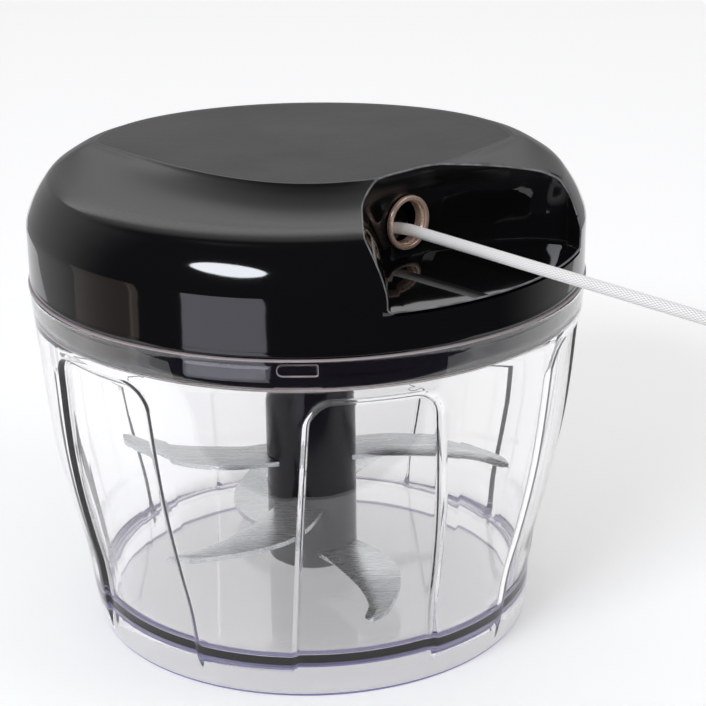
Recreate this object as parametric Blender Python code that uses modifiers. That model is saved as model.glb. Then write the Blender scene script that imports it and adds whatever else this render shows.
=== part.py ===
"""Pull-cord food chopper, 132 mm across its rim and 117 mm tall, with its pull handle drawn out on the cord.

The origin is on the bowl's axis at table level, +Z up and -Y towards the front. Lengths are in metres.
A clear bowl holds a steel pin, and a black stem with three blades turns on that pin. The lid twists off and
lifts away. Inside it a sprung reel winds the cord, and turns the stem through a socket under the lid.
"""

import math

import bmesh
import bpy
import numpy as np
from mathutils import Matrix, Vector

# Clearances shared by the whole part
GAP = 0.0003
OVERRUN = 0.002
MERGE = 0.00001

# Bowl
RIM_RADIUS = 0.0660
RIM_HEIGHT = 0.0869
FOOT_RADIUS = 0.0530
BOWL_WALL = 0.0020
COLLAR_WALL = 0.0011
COLLAR_HEIGHT = 0.0073
LEDGE_HEIGHT = RIM_HEIGHT - COLLAR_HEIGHT
FLOOR_HEIGHT = 0.0097
FLOOR_THICKNESS = 0.0019
FLOOR_FILLET = 0.0032
BOWL_OUTLINE_SHARES = (
    (0.0, 0.0), (0.092, 0.123), (0.23, 0.246), (0.345, 0.431), (0.46, 0.6),
    (0.575, 0.731), (0.69, 0.815), (0.806, 0.877), (0.915, 0.946), (1.0, 1.0),
)
OUTER_ROW_SHARES = (0.0, 0.112, 0.23, 0.36, 0.52, 0.7)
INNER_ROW_SHARES = (0.66, 0.46, 0.3)

# Pressed-in panels round the bowl
PANEL_COUNT = 6
PANEL_TURN = math.radians(12.6)
PANEL_HALF_ANGLE_TOP = math.radians(14.0)
PANEL_HALF_ANGLE_FOOT = math.radians(19.0)
PANEL_DROP = 0.0094
PANEL_TOP = RIM_HEIGHT - PANEL_DROP
PANEL_DEPTH = 0.0012
PANEL_EDGE = 0.0017
PANEL_CORNER = 0.0070

# Steel pin in the bowl's floor
PIVOT_RADIUS = 0.0025
PIVOT_HEIGHT = 0.0143
PIVOT_TOP = FLOOR_HEIGHT + PIVOT_HEIGHT
BOSS_RADIUS = 0.0055
BOSS_HEIGHT = 0.0018
BOSS_SKIN = 0.0011

# Bayonet lugs
LUG_COUNT = 4
LUG_TURN = math.radians(-2.3)
LUG_WIDTH = 0.0088
LUG_HEIGHT = 0.0026
LUG_REACH = 0.0010
LUG_DROP = 0.0027
LUG_CENTRE = RIM_HEIGHT - LUG_DROP
TWIST_ANGLE = math.radians(15.0)

# Blade stem and blades
STEM_RADIUS = 0.0110
STEM_SHOULDER_GAP = 0.0005
HEAD_CHAMFER = 0.0012
HEAD_CLEARANCE = 0.0012
DRIVE_RIB_REACH = 0.0020
DRIVE_RIB_WIDTH = 0.0028
DRIVE_PLAY = 0.0005
DRIVE_RIB_COUNT = 3
BLADE_THICKNESS = 0.0012
BLADE_NECK_HALF = 0.0060
BLADE_BELLY_HALF = 0.0078
BLADE_TIP_HALF = 0.0026
BLADE_SWEEP = math.radians(24.0)
LOWER_BLADE_RISE = 0.0058
MIDDLE_BLADE_RISE = 0.0173
UPPER_BLADE_RISE = 0.0288
LOWER_WALL_GAP = 0.0059
MIDDLE_WALL_GAP = 0.0067
UPPER_WALL_GAP = 0.0083
BLADES = {
    "lower_blade": (LOWER_BLADE_RISE, LOWER_WALL_GAP, math.radians(-50.0)),
    "middle_blade": (MIDDLE_BLADE_RISE, MIDDLE_WALL_GAP, math.radians(70.0)),
    "upper_blade": (UPPER_BLADE_RISE, UPPER_WALL_GAP, math.radians(10.0)),
}

# Lid
LID_STEP = 0.0004
LID_RADIUS = RIM_RADIUS - LID_STEP
LID_RISE = 0.0301
LID_HEIGHT = RIM_HEIGHT + LID_RISE
LID_WALL = 0.0020
FLANGE_HEIGHT = 0.0012
SIDE_DROP = 0.0170
SIDE_TOP = LID_HEIGHT - SIDE_DROP
SHOULDER_INSET = 0.0059
SHOULDER_RADIUS = LID_RADIUS - SHOULDER_INSET
SHOULDER_DROP = 0.0061
SHOULDER_HEIGHT = LID_HEIGHT - SHOULDER_DROP
SHOULDER_SHARES = ((0.04, 0.12), (0.12, 0.25), (0.33, 0.5), (0.56, 0.71), (0.79, 0.88), (1.0, 1.0))
PLATEAU_END_INSET = 0.0107
PLATEAU_HALF_LENGTH = SHOULDER_RADIUS - PLATEAU_END_INSET
PLATEAU_FRONT_INSET = 0.0229
PLATEAU_FRONT = SHOULDER_RADIUS - PLATEAU_FRONT_INSET
PLATEAU_BACK_INSET = 0.0227
PLATEAU_BACK = SHOULDER_RADIUS - PLATEAU_BACK_INSET
SIDE_FLANK_SHARES = ((0.18, 0.25), (0.38, 0.51), (0.6, 0.76), (0.8, 0.93), (1.0, 1.0))
FRONT_FLANK_SHARES = ((0.16, 0.14), (0.4, 0.24), (0.66, 0.43), (0.86, 0.7), (1.0, 1.0))
FLANK_BLEND = 3.0

# Recess for the handle, at the lid's front right
PULL_ANGLE = math.radians(-49.1)
RECESS_DEPTH = 0.0208
RECESS_FLOOR = LID_HEIGHT - RECESS_DEPTH
RECESS_FLARE = 0.0052
RECESS_FLARE_RISE = 0.0023
RECESS_FLARE_START = RECESS_FLOOR + RECESS_FLARE_RISE
RECESS_FLARE_HEIGHT = 0.0135
EYELET_WALL_SHARE = 0.51829
RECESS_LEFT_SHARE = 0.25152
RECESS_CORNER_SHARE = 0.4253
RECESS_BACK_SHARES = (0.65549, -0.2439)
RECESS_TURN_SHARES = (0.80793, -0.22866)
RECESS_END_SHARES = (0.90244, -0.2622)
RECESS_LIP_SHARES = (0.93902, -0.33841)
RECESS_OUTSIDE = 0.0120
EYELET_WALL_DISTANCE = LID_RADIUS * EYELET_WALL_SHARE

# Eyelet and cord
EYELET_SIDE_SHARE = 0.3378
EYELET_RISE = 0.0082
EYELET_HEIGHT = RECESS_FLOOR + EYELET_RISE
EYELET_OUTER_RADIUS = 0.00625
EYELET_INNER_RADIUS = 0.00475
EYELET_BARREL_WALL = 0.0006
EYELET_FLANGE = 0.0009
CORD_RADIUS = 0.00135
CORD_DROP = 0.0019
CORD_HEIGHT = EYELET_HEIGHT - CORD_DROP
CORD_SIDE_SHIFT = 0.0008
CORD_EXIT_DEPTH = 0.0015
CORD_BEND_LENGTH = 0.0030
REST_PULL = 0.1000

# Lid base
PLUG_CLEARANCE = 0.0004
PLUG_RADIUS = RIM_RADIUS - COLLAR_WALL - PLUG_CLEARANCE
PLUG_STEP = 0.0004
PLUG_BOTTOM = LEDGE_HEIGHT + PLUG_STEP
PLUG_WALL = 0.0025
BASE_FLOOR = 0.0018
SPIGOT_WALL = 0.0020
SPIGOT_DROP = 0.0016
REGISTER_CLEARANCE = 0.0006
REGISTER_RADIUS = LID_RADIUS - LID_WALL - REGISTER_CLEARANCE
REGISTER_HEIGHT = 0.0026
HUB_WALL = 0.0020
SCREW_INSET = 0.0165
SCREW_CIRCLE = PLUG_RADIUS - SCREW_INSET
SCREW_ANGLES = (math.radians(-110.0), math.radians(10.0), math.radians(130.0))
SCREW_HEAD_RADIUS = 0.0029
SCREW_HEAD_HEIGHT = 0.0018
SCREW_SHANK_RADIUS = 0.0014
SCREW_SINK = 0.0006
SCREW_LENGTH = 0.0190
PILLAR_WALL = 0.0015
BOSS_WALL = 0.0021

# Sealing ring
RING_HEIGHT = 0.0010
RING_WIDTH = 0.0018
RING_CLEARANCE = 0.0005

# Socket, reel, spring and axle
SOCKET_STEP = 0.0003
SOCKET_RADIUS = STEM_RADIUS + SOCKET_STEP
SOCKET_WALL = 0.0014
SOCKET_DROP = 0.0007
SOCKET_BOTTOM = PLUG_BOTTOM - SOCKET_DROP
SOCKET_PLATE = 0.0035
TENON_RADIUS = 0.0070
TENON_HEIGHT = 0.0018
REEL_DROP = 0.0091
REEL_FLANGE_RADIUS = 0.0240
REEL_CORE_RADIUS = 0.0175
REEL_FLANGE = 0.0014
REEL_GROOVE = 0.0086
REEL_CORE_WALL = 0.0015
WINDING_DEPTH = 0.0027
COVER_RADIUS = 0.0183
COVER_THICKNESS = 0.0012
AXLE_RADIUS = 0.0025
AXLE_SINK = 0.0040
AXLE_BOSS_RADIUS = 0.0055
AXLE_BOSS_CLEARANCE = 0.0012
ARBOR_RADIUS = 0.0046
SPRING_THICKNESS = 0.0005
SPRING_TURNS = 5
SPRING_STEPS = 16
SPRING_END_GAP = 0.0005

# Pull handle
HANDLE_GAP = 0.0006
HANDLE_BACK_GAP = 0.0016
HANDLE_COVER_HEIGHT = 0.0022
HANDLE_SPLIT = RECESS_FLOOR + HANDLE_GAP + HANDLE_COVER_HEIGHT
FINGER_BACK_WALL = 0.00205
FINGER_SIDE_WALL = 0.01164
GRIP_WALL = 0.0058
KNOT_RADIUS = 0.0030
KNOT_WALL = 0.0030
KNOT_ROOM = 0.0006
HANDLE_SCREW_DISTANCE = 0.0150
HANDLE_SCREW_INSET = 0.0051
HANDLE_SCREW_HEAD_RADIUS = 0.0022
HANDLE_SCREW_HEAD_HEIGHT = 0.0013
HANDLE_SCREW_SHANK_RADIUS = 0.0011
HANDLE_SCREW_LENGTH = 0.0085

# Heights and radii that follow from the sizes above
FLANGE_BOTTOM = RIM_HEIGHT + GAP
FLANGE_TOP = FLANGE_BOTTOM + FLANGE_HEIGHT
SHELL_BOTTOM = FLANGE_TOP + GAP
REGISTER_TOP = FLANGE_TOP + REGISTER_HEIGHT
REEL_TOP = LID_HEIGHT - REEL_DROP
GROOVE_TOP = REEL_TOP - REEL_FLANGE
GROOVE_BOTTOM = GROOVE_TOP - REEL_GROOVE
REEL_BOTTOM = GROOVE_BOTTOM - REEL_FLANGE
REEL_FLOOR = REEL_BOTTOM + TENON_HEIGHT
SOCKET_TOP = REEL_BOTTOM - GAP
SOCKET_CEILING = SOCKET_TOP - SOCKET_PLATE
HEAD_TOP = SOCKET_CEILING - HEAD_CLEARANCE
HEAD_RADIUS = SOCKET_RADIUS - SOCKET_WALL - DRIVE_RIB_REACH - DRIVE_PLAY
STEM_SHOULDER = SOCKET_BOTTOM - STEM_SHOULDER_GAP
COVER_BOTTOM = REEL_TOP - COVER_THICKNESS + GAP
STEP_HEIGHT = COVER_BOTTOM - GAP
ROOM_RADIUS = REEL_CORE_RADIUS - REEL_CORE_WALL
AXLE_BORE = AXLE_RADIUS + GAP
AXLE_BOSS_BOTTOM = REEL_TOP + AXLE_BOSS_CLEARANCE
STEM_BOTTOM = FLOOR_HEIGHT + BOSS_HEIGHT + GAP
WINDING_RADIUS = REEL_CORE_RADIUS + GAP + WINDING_DEPTH / 2

# Directions of the pull, along the cord and across it
PULL = Vector((math.cos(PULL_ANGLE), math.sin(PULL_ANGLE), 0.0))
ACROSS = Vector((-math.sin(PULL_ANGLE), math.cos(PULL_ANGLE), 0.0))

# Facets
ROUND_STEPS = 48
LID_STEPS = 60
CAVITY_STEPS = 36
HUB_STEPS = 24
SMALL_STEPS = 16


def clear_scene():
    for old in list(bpy.data.objects):
        bpy.data.objects.remove(old, do_unlink=True)


def new_collection(name):
    collection = bpy.data.collections.new(name)
    bpy.context.scene.collection.children.link(collection)
    return collection


clear_scene()
PARTS = new_collection("pull_cord_food_chopper")
CUTTERS = new_collection("cutters")


def material(name, colour, roughness, metallic=0.0, alpha=1.0):
    found = bpy.data.materials.get(name)
    if found:
        return found
    made = bpy.data.materials.new(name)
    made.use_nodes = True
    shader = made.node_tree.nodes["Principled BSDF"]
    shader.inputs["Base Color"].default_value = (*colour, 1.0)
    shader.inputs["Roughness"].default_value = roughness
    shader.inputs["Metallic"].default_value = metallic
    shader.inputs["Alpha"].default_value = alpha
    return made


CLEAR = material("clear_plastic", (0.86, 0.86, 0.88), 0.06, alpha=0.35)
GLOSS_BLACK = material("gloss_black_plastic", (0.012, 0.012, 0.013), 0.12)
SATIN_BLACK = material("satin_black_plastic", (0.015, 0.015, 0.016), 0.4)
STEEL = material("brushed_steel", (0.62, 0.63, 0.64), 0.25, metallic=1.0)
PLATED = material("warm_nickel_plate", (0.66, 0.5, 0.4), 0.2, metallic=1.0)
SILICONE = material("clear_silicone", (0.85, 0.8, 0.8), 0.35, alpha=0.6)
CORD = material("white_braided_cord", (0.8, 0.79, 0.78), 0.8)
WHITE_PLASTIC = material("natural_acetal", (0.78, 0.77, 0.73), 0.4)


def add_object(name, mesh, finish, collection=None, smooth_angle=math.radians(32.0)):
    made = bpy.data.objects.new(name, mesh)
    (collection or PARTS).objects.link(made)
    if finish:
        mesh.materials.append(finish)
    mesh.shade_smooth()
    mesh.set_sharp_from_angle(angle=smooth_angle)
    return made


def mesh_of(bm, name):
    bmesh.ops.recalc_face_normals(bm, faces=bm.faces)
    mesh = bpy.data.meshes.new(name)
    bm.to_mesh(mesh)
    bm.free()
    return mesh


def as_cutter(made):
    made.hide_render = True
    made.display_type = "WIRE"
    return made


def turned(name, profile, steps, finish, collection=None):
    """A closed (radius, height) loop that runs down its outer side, spun about +Z."""
    mesh = bpy.data.meshes.new(name)
    points = [(radius, 0.0, height) for radius, height in profile]
    mesh.from_pydata(points, [(i, (i + 1) % len(points)) for i in range(len(points))], [])
    made = add_object(name, mesh, finish, collection)
    spin = made.modifiers.new("spin", "SCREW")
    spin.steps = spin.render_steps = steps
    spin.use_merge_vertices = True
    spin.merge_threshold = MERGE
    return made


def cylinder(name, radius, bottom, top, steps, finish=None, collection=None, centre=(0.0, 0.0)):
    bm = bmesh.new()
    middle = Matrix.Translation((centre[0], centre[1], (bottom + top) / 2))
    bmesh.ops.create_cone(bm, cap_ends=True, segments=steps, radius1=radius, radius2=radius,
                          depth=top - bottom, matrix=middle)
    return add_object(name, mesh_of(bm, name), finish, collection)


def block(name, size, middle, turn=0.0, finish=None, collection=None):
    bm = bmesh.new()
    place = Matrix.Translation(middle) @ Matrix.Rotation(turn, 4, "Z") @ Matrix.Diagonal((*size, 1.0))
    bmesh.ops.create_cube(bm, size=1.0, matrix=place)
    return add_object(name, mesh_of(bm, name), finish, collection)


def loft(name, rings, finish=None, collection=None, closed_loop=False):
    """Rings of equal count joined in order, with a face over each end, or a fan where a ring is one point."""
    bm = bmesh.new()
    rows = [[bm.verts.new(point) for point in ring] for ring in rings]
    pairs = list(zip(rows, rows[1:]))
    if closed_loop:
        pairs.append((rows[-1], rows[0]))
    for low, high in pairs:
        count = max(len(low), len(high))
        for i in range(count):
            j = (i + 1) % count
            if len(low) == 1:
                bm.faces.new((low[0], high[i], high[j]))
            elif len(high) == 1:
                bm.faces.new((low[i], high[0], low[j]))
            else:
                bm.faces.new((low[i], high[i], high[j], low[j]))
    if not closed_loop:
        for ring in (rows[0], rows[-1]):
            if len(ring) > 1:
                bm.faces.new(ring)
    return add_object(name, mesh_of(bm, name), finish, collection)


def baked(made):
    """The object with its modifiers applied and a curve made a mesh, in its own place."""
    graph = bpy.context.evaluated_depsgraph_get()
    mesh = bpy.data.meshes.new_from_object(made.evaluated_get(graph))
    bm = bmesh.new()
    bm.from_mesh(mesh)
    bmesh.ops.remove_doubles(bm, verts=bm.verts, dist=MERGE)
    bm.to_mesh(mesh)
    bm.free()
    name, place, home = made.name, made.matrix_world.copy(), made.users_collection[0]
    bpy.data.objects.remove(made, do_unlink=True)
    fresh = bpy.data.objects.new(name, mesh)
    home.objects.link(fresh)
    fresh.matrix_world = place
    return fresh


def combine(made, others, operation):
    """Applies one Boolean for each of the other objects, which stay behind as cutters."""
    for other in others:
        step = made.modifiers.new(other.name, "BOOLEAN")
        step.operation = operation
        step.solver = "EXACT"
        step.object = as_cutter(other)
    return made


def cut(made, others):
    return combine(made, others, "DIFFERENCE")


def grow(made, others):
    return combine(made, others, "UNION")


def repeat(name, pattern, places):
    """A numbered object for each place, all with the pattern's own mesh."""
    pattern = baked(pattern)
    made = []
    for number, place in enumerate(places, 1):
        copy = bpy.data.objects.new(f"{name}_{number}", pattern.data)
        PARTS.objects.link(copy)
        copy.matrix_world = Matrix.Translation(place)
        made.append(copy)
    bpy.data.objects.remove(pattern, do_unlink=True)
    return made


def smoothstep(value):
    held = min(max(value, 0.0), 1.0)
    return held * held * (3.0 - 2.0 * held)


def polar(radius, angle, height):
    return (radius * math.cos(angle), radius * math.sin(angle), height)


def share_to_size(shares, start, end):
    return [(start[0] + (end[0] - start[0]) * a, start[1] + (end[1] - start[1]) * b) for a, b in shares]


def tube(name, points, radius, finish, resolution=2):
    """A round cord along the points, as a filled curve."""
    data = bpy.data.curves.new(name, "CURVE")
    data.dimensions = "3D"
    data.bevel_depth = radius
    data.bevel_resolution = resolution
    data.use_fill_caps = True
    line = data.splines.new("POLY")
    line.points.add(len(points) - 1)
    for slot, point in zip(line.points, points):
        slot.co = (*point, 1.0)
    data.materials.append(finish)
    made = bpy.data.objects.new(name, data)
    PARTS.objects.link(made)
    return made


def bowl_radius(height):
    heights = [RIM_HEIGHT * a for a, _ in BOWL_OUTLINE_SHARES]
    radii = [FOOT_RADIUS + (RIM_RADIUS - FOOT_RADIUS) * b for _, b in BOWL_OUTLINE_SHARES]
    return float(np.interp(height, heights, radii))


def panel_half_angle(height):
    share = min(height / PANEL_TOP, 1.0)
    return PANEL_HALF_ANGLE_FOOT + (PANEL_HALF_ANGLE_TOP - PANEL_HALF_ANGLE_FOOT) * share


def panel_depth(offset, height):
    """How far a point, this angle from a panel's middle, is pressed in."""
    radius = bowl_radius(height)
    side = radius * (abs(offset) - panel_half_angle(height)) + PANEL_CORNER
    rise = height - PANEL_TOP + PANEL_CORNER
    outside = math.hypot(max(side, 0.0), max(rise, 0.0)) + min(max(side, rise), 0.0) - PANEL_CORNER
    return PANEL_DEPTH * smoothstep(-outside / PANEL_EDGE)


def bowl_columns(height):
    """Angles of the bowl's columns at this height, each with its angle from the nearest panel's middle."""
    pitch = 2.0 * math.pi / PANEL_COUNT
    half = panel_half_angle(height)
    inner = half - PANEL_EDGE / bowl_radius(height)
    land = pitch - 2.0 * half
    offsets = [-half] + [inner * share for share in (-1.0, -0.5, 0.0, 0.5, 1.0)]
    offsets += [half + land * share for share in (0.0, 0.25, 0.5, 0.75)]
    columns = []
    for panel in range(PANEL_COUNT):
        middle = -math.pi / 2 + PANEL_TURN + panel * pitch
        for offset in offsets:
            near = offset if offset <= pitch / 2 else offset - pitch
            columns.append((middle + offset, near))
    return columns


def bowl_ring(radius, height, pressed=True):
    ring = []
    for angle, offset in bowl_columns(height):
        depth = panel_depth(offset, height) if pressed else 0.0
        ring.append(polar(radius - depth, angle, height))
    return ring


def make_bowl():
    """The clear bowl with its open foot skirt, ledge, thin collar, lugs and the boss for the pin."""
    underside = FLOOR_HEIGHT - FLOOR_THICKNESS
    band = [PANEL_TOP - PANEL_CORNER, PANEL_TOP - PANEL_CORNER / 3, PANEL_TOP - PANEL_EDGE, PANEL_TOP]
    rings = [[(0.0, 0.0, underside)]]
    rings.append(bowl_ring(bowl_radius(underside) - BOWL_WALL, underside))
    rings.append(bowl_ring(FOOT_RADIUS - BOWL_WALL, 0.0))
    for height in [RIM_HEIGHT * share for share in OUTER_ROW_SHARES] + band:
        rings.append(bowl_ring(bowl_radius(height), height))
    rings.append(bowl_ring(RIM_RADIUS, RIM_HEIGHT, pressed=False))
    rings.append(bowl_ring(RIM_RADIUS - COLLAR_WALL, RIM_HEIGHT, pressed=False))
    rings.append(bowl_ring(RIM_RADIUS - COLLAR_WALL, LEDGE_HEIGHT, pressed=False))
    rings.append(bowl_ring(bowl_radius(LEDGE_HEIGHT) - BOWL_WALL, LEDGE_HEIGHT, pressed=False))
    corner = FLOOR_HEIGHT + FLOOR_FILLET
    for height in band[::-1] + [RIM_HEIGHT * share for share in INNER_ROW_SHARES] + [corner]:
        rings.append(bowl_ring(bowl_radius(height) - BOWL_WALL, height))
    slant = FLOOR_FILLET * (1.0 - math.sqrt(0.5))
    rings.append(bowl_ring(bowl_radius(corner) - BOWL_WALL - slant, FLOOR_HEIGHT + slant))
    rings.append(bowl_ring(bowl_radius(corner) - BOWL_WALL - FLOOR_FILLET, FLOOR_HEIGHT))
    boss_top = FLOOR_HEIGHT + BOSS_HEIGHT
    bore = PIVOT_RADIUS + GAP
    rings.append(bowl_ring(BOSS_RADIUS, FLOOR_HEIGHT, pressed=False))
    rings.append(bowl_ring(BOSS_RADIUS - BOSS_HEIGHT / 4, boss_top, pressed=False))
    rings.append(bowl_ring(bore, boss_top, pressed=False))
    rings.append(bowl_ring(bore, underside + BOSS_SKIN, pressed=False))
    rings.append([(0.0, 0.0, underside + BOSS_SKIN)])
    bowl = loft("bowl", rings, CLEAR)
    collar = RIM_RADIUS - COLLAR_WALL
    root = COLLAR_WALL / 2
    lugs = []
    for i in range(LUG_COUNT):
        angle = -math.pi / 2 + LUG_TURN + i * 2.0 * math.pi / LUG_COUNT
        middle = polar(collar + (root - LUG_REACH) / 2, angle, LUG_CENTRE)
        lugs.append(block(f"lug_{i}", (LUG_REACH + root, LUG_WIDTH, LUG_HEIGHT), middle, angle,
                          collection=CUTTERS))
    return grow(bowl, lugs)


def make_pivot_pin():
    bottom = FLOOR_HEIGHT - FLOOR_THICKNESS + BOSS_SKIN + GAP
    tip = PIVOT_RADIUS / 3
    profile = [(0.0, PIVOT_TOP), (PIVOT_RADIUS - tip, PIVOT_TOP), (PIVOT_RADIUS, PIVOT_TOP - tip),
               (PIVOT_RADIUS, bottom), (0.0, bottom)]
    return turned("bowl_pivot_pin", profile, SMALL_STEPS, STEEL)


def make_stem():
    """The black stem with a bore for the pin, a slot for each blade and a ribbed head for the socket."""
    bore = PIVOT_RADIUS + GAP
    profile = [(0.0, HEAD_TOP), (HEAD_RADIUS - HEAD_CHAMFER, HEAD_TOP),
               (HEAD_RADIUS, HEAD_TOP - HEAD_CHAMFER), (HEAD_RADIUS, STEM_SHOULDER),
               (STEM_RADIUS - HEAD_CHAMFER, STEM_SHOULDER),
               (STEM_RADIUS, STEM_SHOULDER - HEAD_CHAMFER), (STEM_RADIUS, STEM_BOTTOM),
               (bore, STEM_BOTTOM), (bore, PIVOT_TOP + GAP), (0.0, PIVOT_TOP + GAP)]
    stem = baked(turned("blade_stem", profile, HUB_STEPS, SATIN_BLACK))
    ribs = []
    low = STEM_SHOULDER - HEAD_CHAMFER
    high = HEAD_TOP - HEAD_CHAMFER
    for i in range(DRIVE_RIB_COUNT):
        angle = i * 2.0 * math.pi / DRIVE_RIB_COUNT
        reach = DRIVE_RIB_REACH + HEAD_RADIUS / 2
        middle = polar(HEAD_RADIUS + DRIVE_RIB_REACH - reach / 2, angle, (low + high) / 2)
        ribs.append(block(f"stem_rib_{i}", (reach, DRIVE_RIB_WIDTH, high - low), middle, angle,
                          collection=CUTTERS))
    grow(stem, ribs)
    slots = []
    for name, (rise, _, turn) in BLADES.items():
        size = (2.0 * (STEM_RADIUS + OVERRUN), 2.0 * (BLADE_NECK_HALF + GAP), BLADE_THICKNESS + 2.0 * GAP)
        slots.append(block(f"slot_for_{name}", size, (0.0, 0.0, FLOOR_HEIGHT + rise), turn,
                           collection=CUTTERS))
    return cut(stem, slots)


def blade_edge(share, reach, side):
    """A point on one long edge of an arm, at this share of the way from the stem to the tip."""
    start = STEM_RADIUS + 2.0 * GAP
    radius = start + (reach - start) * share
    belly = math.sin(math.pi * min(share * 1.25, 1.0))
    half = BLADE_NECK_HALF + (BLADE_TIP_HALF - BLADE_NECK_HALF) * share
    half += (BLADE_BELLY_HALF - BLADE_NECK_HALF) * belly
    angle = -BLADE_SWEEP * share ** 1.6
    along = Vector((math.cos(angle), math.sin(angle)))
    across = Vector((-math.sin(angle), math.cos(angle)))
    return along * radius + across * side * half


def make_blade(name, rise, wall_gap, turn):
    """A flat S-shaped blade cut from sheet, its two arms swept the same way."""
    height = FLOOR_HEIGHT + rise
    reach = bowl_radius(height) - BOWL_WALL - PANEL_DEPTH - wall_gap
    shares = (0.0, 0.14, 0.28, 0.42, 0.56, 0.7, 0.84, 0.95)
    arm = [blade_edge(share, reach, -1.0) for share in shares]
    arm += [blade_edge(share, reach, 1.0) for share in reversed(shares)]
    outline = arm + [-point for point in arm]
    data = bpy.data.curves.new(name, "CURVE")
    data.dimensions = "2D"
    data.fill_mode = "BOTH"
    data.extrude = BLADE_THICKNESS / 2
    line = data.splines.new("POLY")
    line.points.add(len(outline) - 1)
    line.use_cyclic_u = True
    for slot, point in zip(line.points, outline):
        slot.co = (point.x, point.y, 0.0, 1.0)
    data.materials.append(STEEL)
    made = bpy.data.objects.new(name, data)
    PARTS.objects.link(made)
    made.location = (0.0, 0.0, height)
    made.rotation_euler = (0.0, 0.0, turn)
    if height - BLADE_THICKNESS < PIVOT_TOP:
        bpy.context.view_layer.update()
        made = baked(made)
        cut(made, [cylinder(f"{name}_hole", PIVOT_RADIUS + GAP, 0.0, PIVOT_TOP + OVERRUN, SMALL_STEPS,
                            collection=CUTTERS)])
    return made


def plateau_radius(angle):
    """Distance from the axis to the crease round the flat top, along this angle."""
    length = PLATEAU_HALF_LENGTH
    if math.sin(angle) >= 0.0:
        return 1.0 / math.hypot(math.cos(angle) / length, math.sin(angle) / PLATEAU_BACK)
    inside, outside = 0.0, length
    for _ in range(40):
        radius = (inside + outside) / 2
        edge = PLATEAU_FRONT * math.cos(math.pi * radius * math.cos(angle) / (2.0 * length))
        if -radius * math.sin(angle) < edge:
            inside = radius
        else:
            outside = radius
    return inside


def lid_profile(angle):
    """(radius, height) points from the top of the lid's side to the crease, at this angle."""
    points = [(LID_RADIUS, SIDE_TOP)]
    points += share_to_size(SHOULDER_SHARES, points[0], (SHOULDER_RADIUS, SHOULDER_HEIGHT))
    sideways = abs(math.cos(angle)) ** FLANK_BLEND
    crease = (plateau_radius(angle), LID_HEIGHT)
    for side, front in zip(SIDE_FLANK_SHARES, FRONT_FLANK_SHARES):
        mixed = [front[k] + (side[k] - front[k]) * sideways for k in (0, 1)]
        points += share_to_size([mixed], (SHOULDER_RADIUS, SHOULDER_HEIGHT), crease)
    return points


def lid_rings(steps, inset=0.0):
    """Rings of the lid's outer surface, or of a surface that lies this far inside it."""
    shrink = (LID_RADIUS - inset) / LID_RADIUS
    angles = [2.0 * math.pi * i / steps for i in range(steps)]
    profiles = [lid_profile(angle) for angle in angles]
    bottom = SHELL_BOTTOM - (OVERRUN if inset else 0.0)
    rings = [[polar(LID_RADIUS * shrink, angle, bottom) for angle in angles]]
    for row in range(len(profiles[0])):
        ring = [polar(profile[row][0] * shrink, angle, profile[row][1] - inset)
                for angle, profile in zip(angles, profiles)]
        rings.append(ring)
    rings.append([(0.0, 0.0, LID_HEIGHT - inset)])
    return rings


def flare(height):
    """How far the recess's left wall has leaned out at this height."""
    share = max(height - RECESS_FLARE_START, 0.0) / RECESS_FLARE_HEIGHT
    return RECESS_FLARE * share ** 1.5


def recess_lip():
    return LID_RADIUS * Vector(RECESS_LIP_SHARES)


def recess_plan(height):
    """The recess's plan at this height, anticlockwise, run out past the lid's side."""
    left = LID_RADIUS * RECESS_LEFT_SHARE - flare(height)
    corner = LID_RADIUS * RECESS_CORNER_SHARE
    on_wall = [Vector((x, (EYELET_WALL_DISTANCE - x * PULL.x) / PULL.y)) for x in (corner, left)]
    back = [LID_RADIUS * Vector(shares) for shares in (RECESS_TURN_SHARES, RECESS_BACK_SHARES)]
    lip, end = recess_lip(), LID_RADIUS * Vector(RECESS_END_SHARES)
    past = lip + (lip - end).normalized() * RECESS_OUTSIDE
    front = -LID_RADIUS - RECESS_OUTSIDE
    return [Vector((left, front)), Vector((past.x, front)), past, lip, end] + back + on_wall


def offset_plan(plan, distance):
    """The plan with every edge moved outwards by the distance, or inwards where it is negative."""
    moved = []
    count = len(plan)
    for i in range(count):
        before, here, after = plan[i - 1], plan[i], plan[(i + 1) % count]
        first = (here - before).normalized()
        second = (after - here).normalized()
        normal_a = Vector((first.y, -first.x))
        normal_b = Vector((second.y, -second.x))
        bisector = (normal_a + normal_b).normalized()
        moved.append(here + bisector * (distance / bisector.dot(normal_a)))
    return moved


def clip_plan(plan, normal, limit):
    """The part of the plan on the inner side of a straight line."""
    kept = []
    for i, here in enumerate(plan):
        after = plan[(i + 1) % len(plan)]
        a, b = here.dot(normal) - limit, after.dot(normal) - limit
        if a <= 0.0:
            kept.append(here)
        if a * b < 0.0:
            kept.append(here + (after - here) * (a / (a - b)))
    return kept


def recess_levels(bottom):
    top = LID_HEIGHT + OVERRUN
    start = RECESS_FLARE_START
    return [bottom, start] + [start + (top - start) * share for share in (0.25, 0.5, 0.75, 1.0)]


def recess_solid(name, bottom, distance):
    rings = [[(p.x, p.y, z) for p in offset_plan(recess_plan(z), distance)] for z in recess_levels(bottom)]
    return loft(name, rings, collection=CUTTERS)


def along_pull(name, radius, start, end, height, shift, steps):
    """A cylinder along the pull, between two distances from the axis."""
    made = cylinder(name, radius, start, end, steps, collection=CUTTERS)
    foot = ACROSS * shift
    lie_down = PULL.to_track_quat("Z", "Y").to_matrix().to_4x4()
    made.matrix_world = Matrix.Translation((foot.x, foot.y, height)) @ lie_down
    return made


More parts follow.
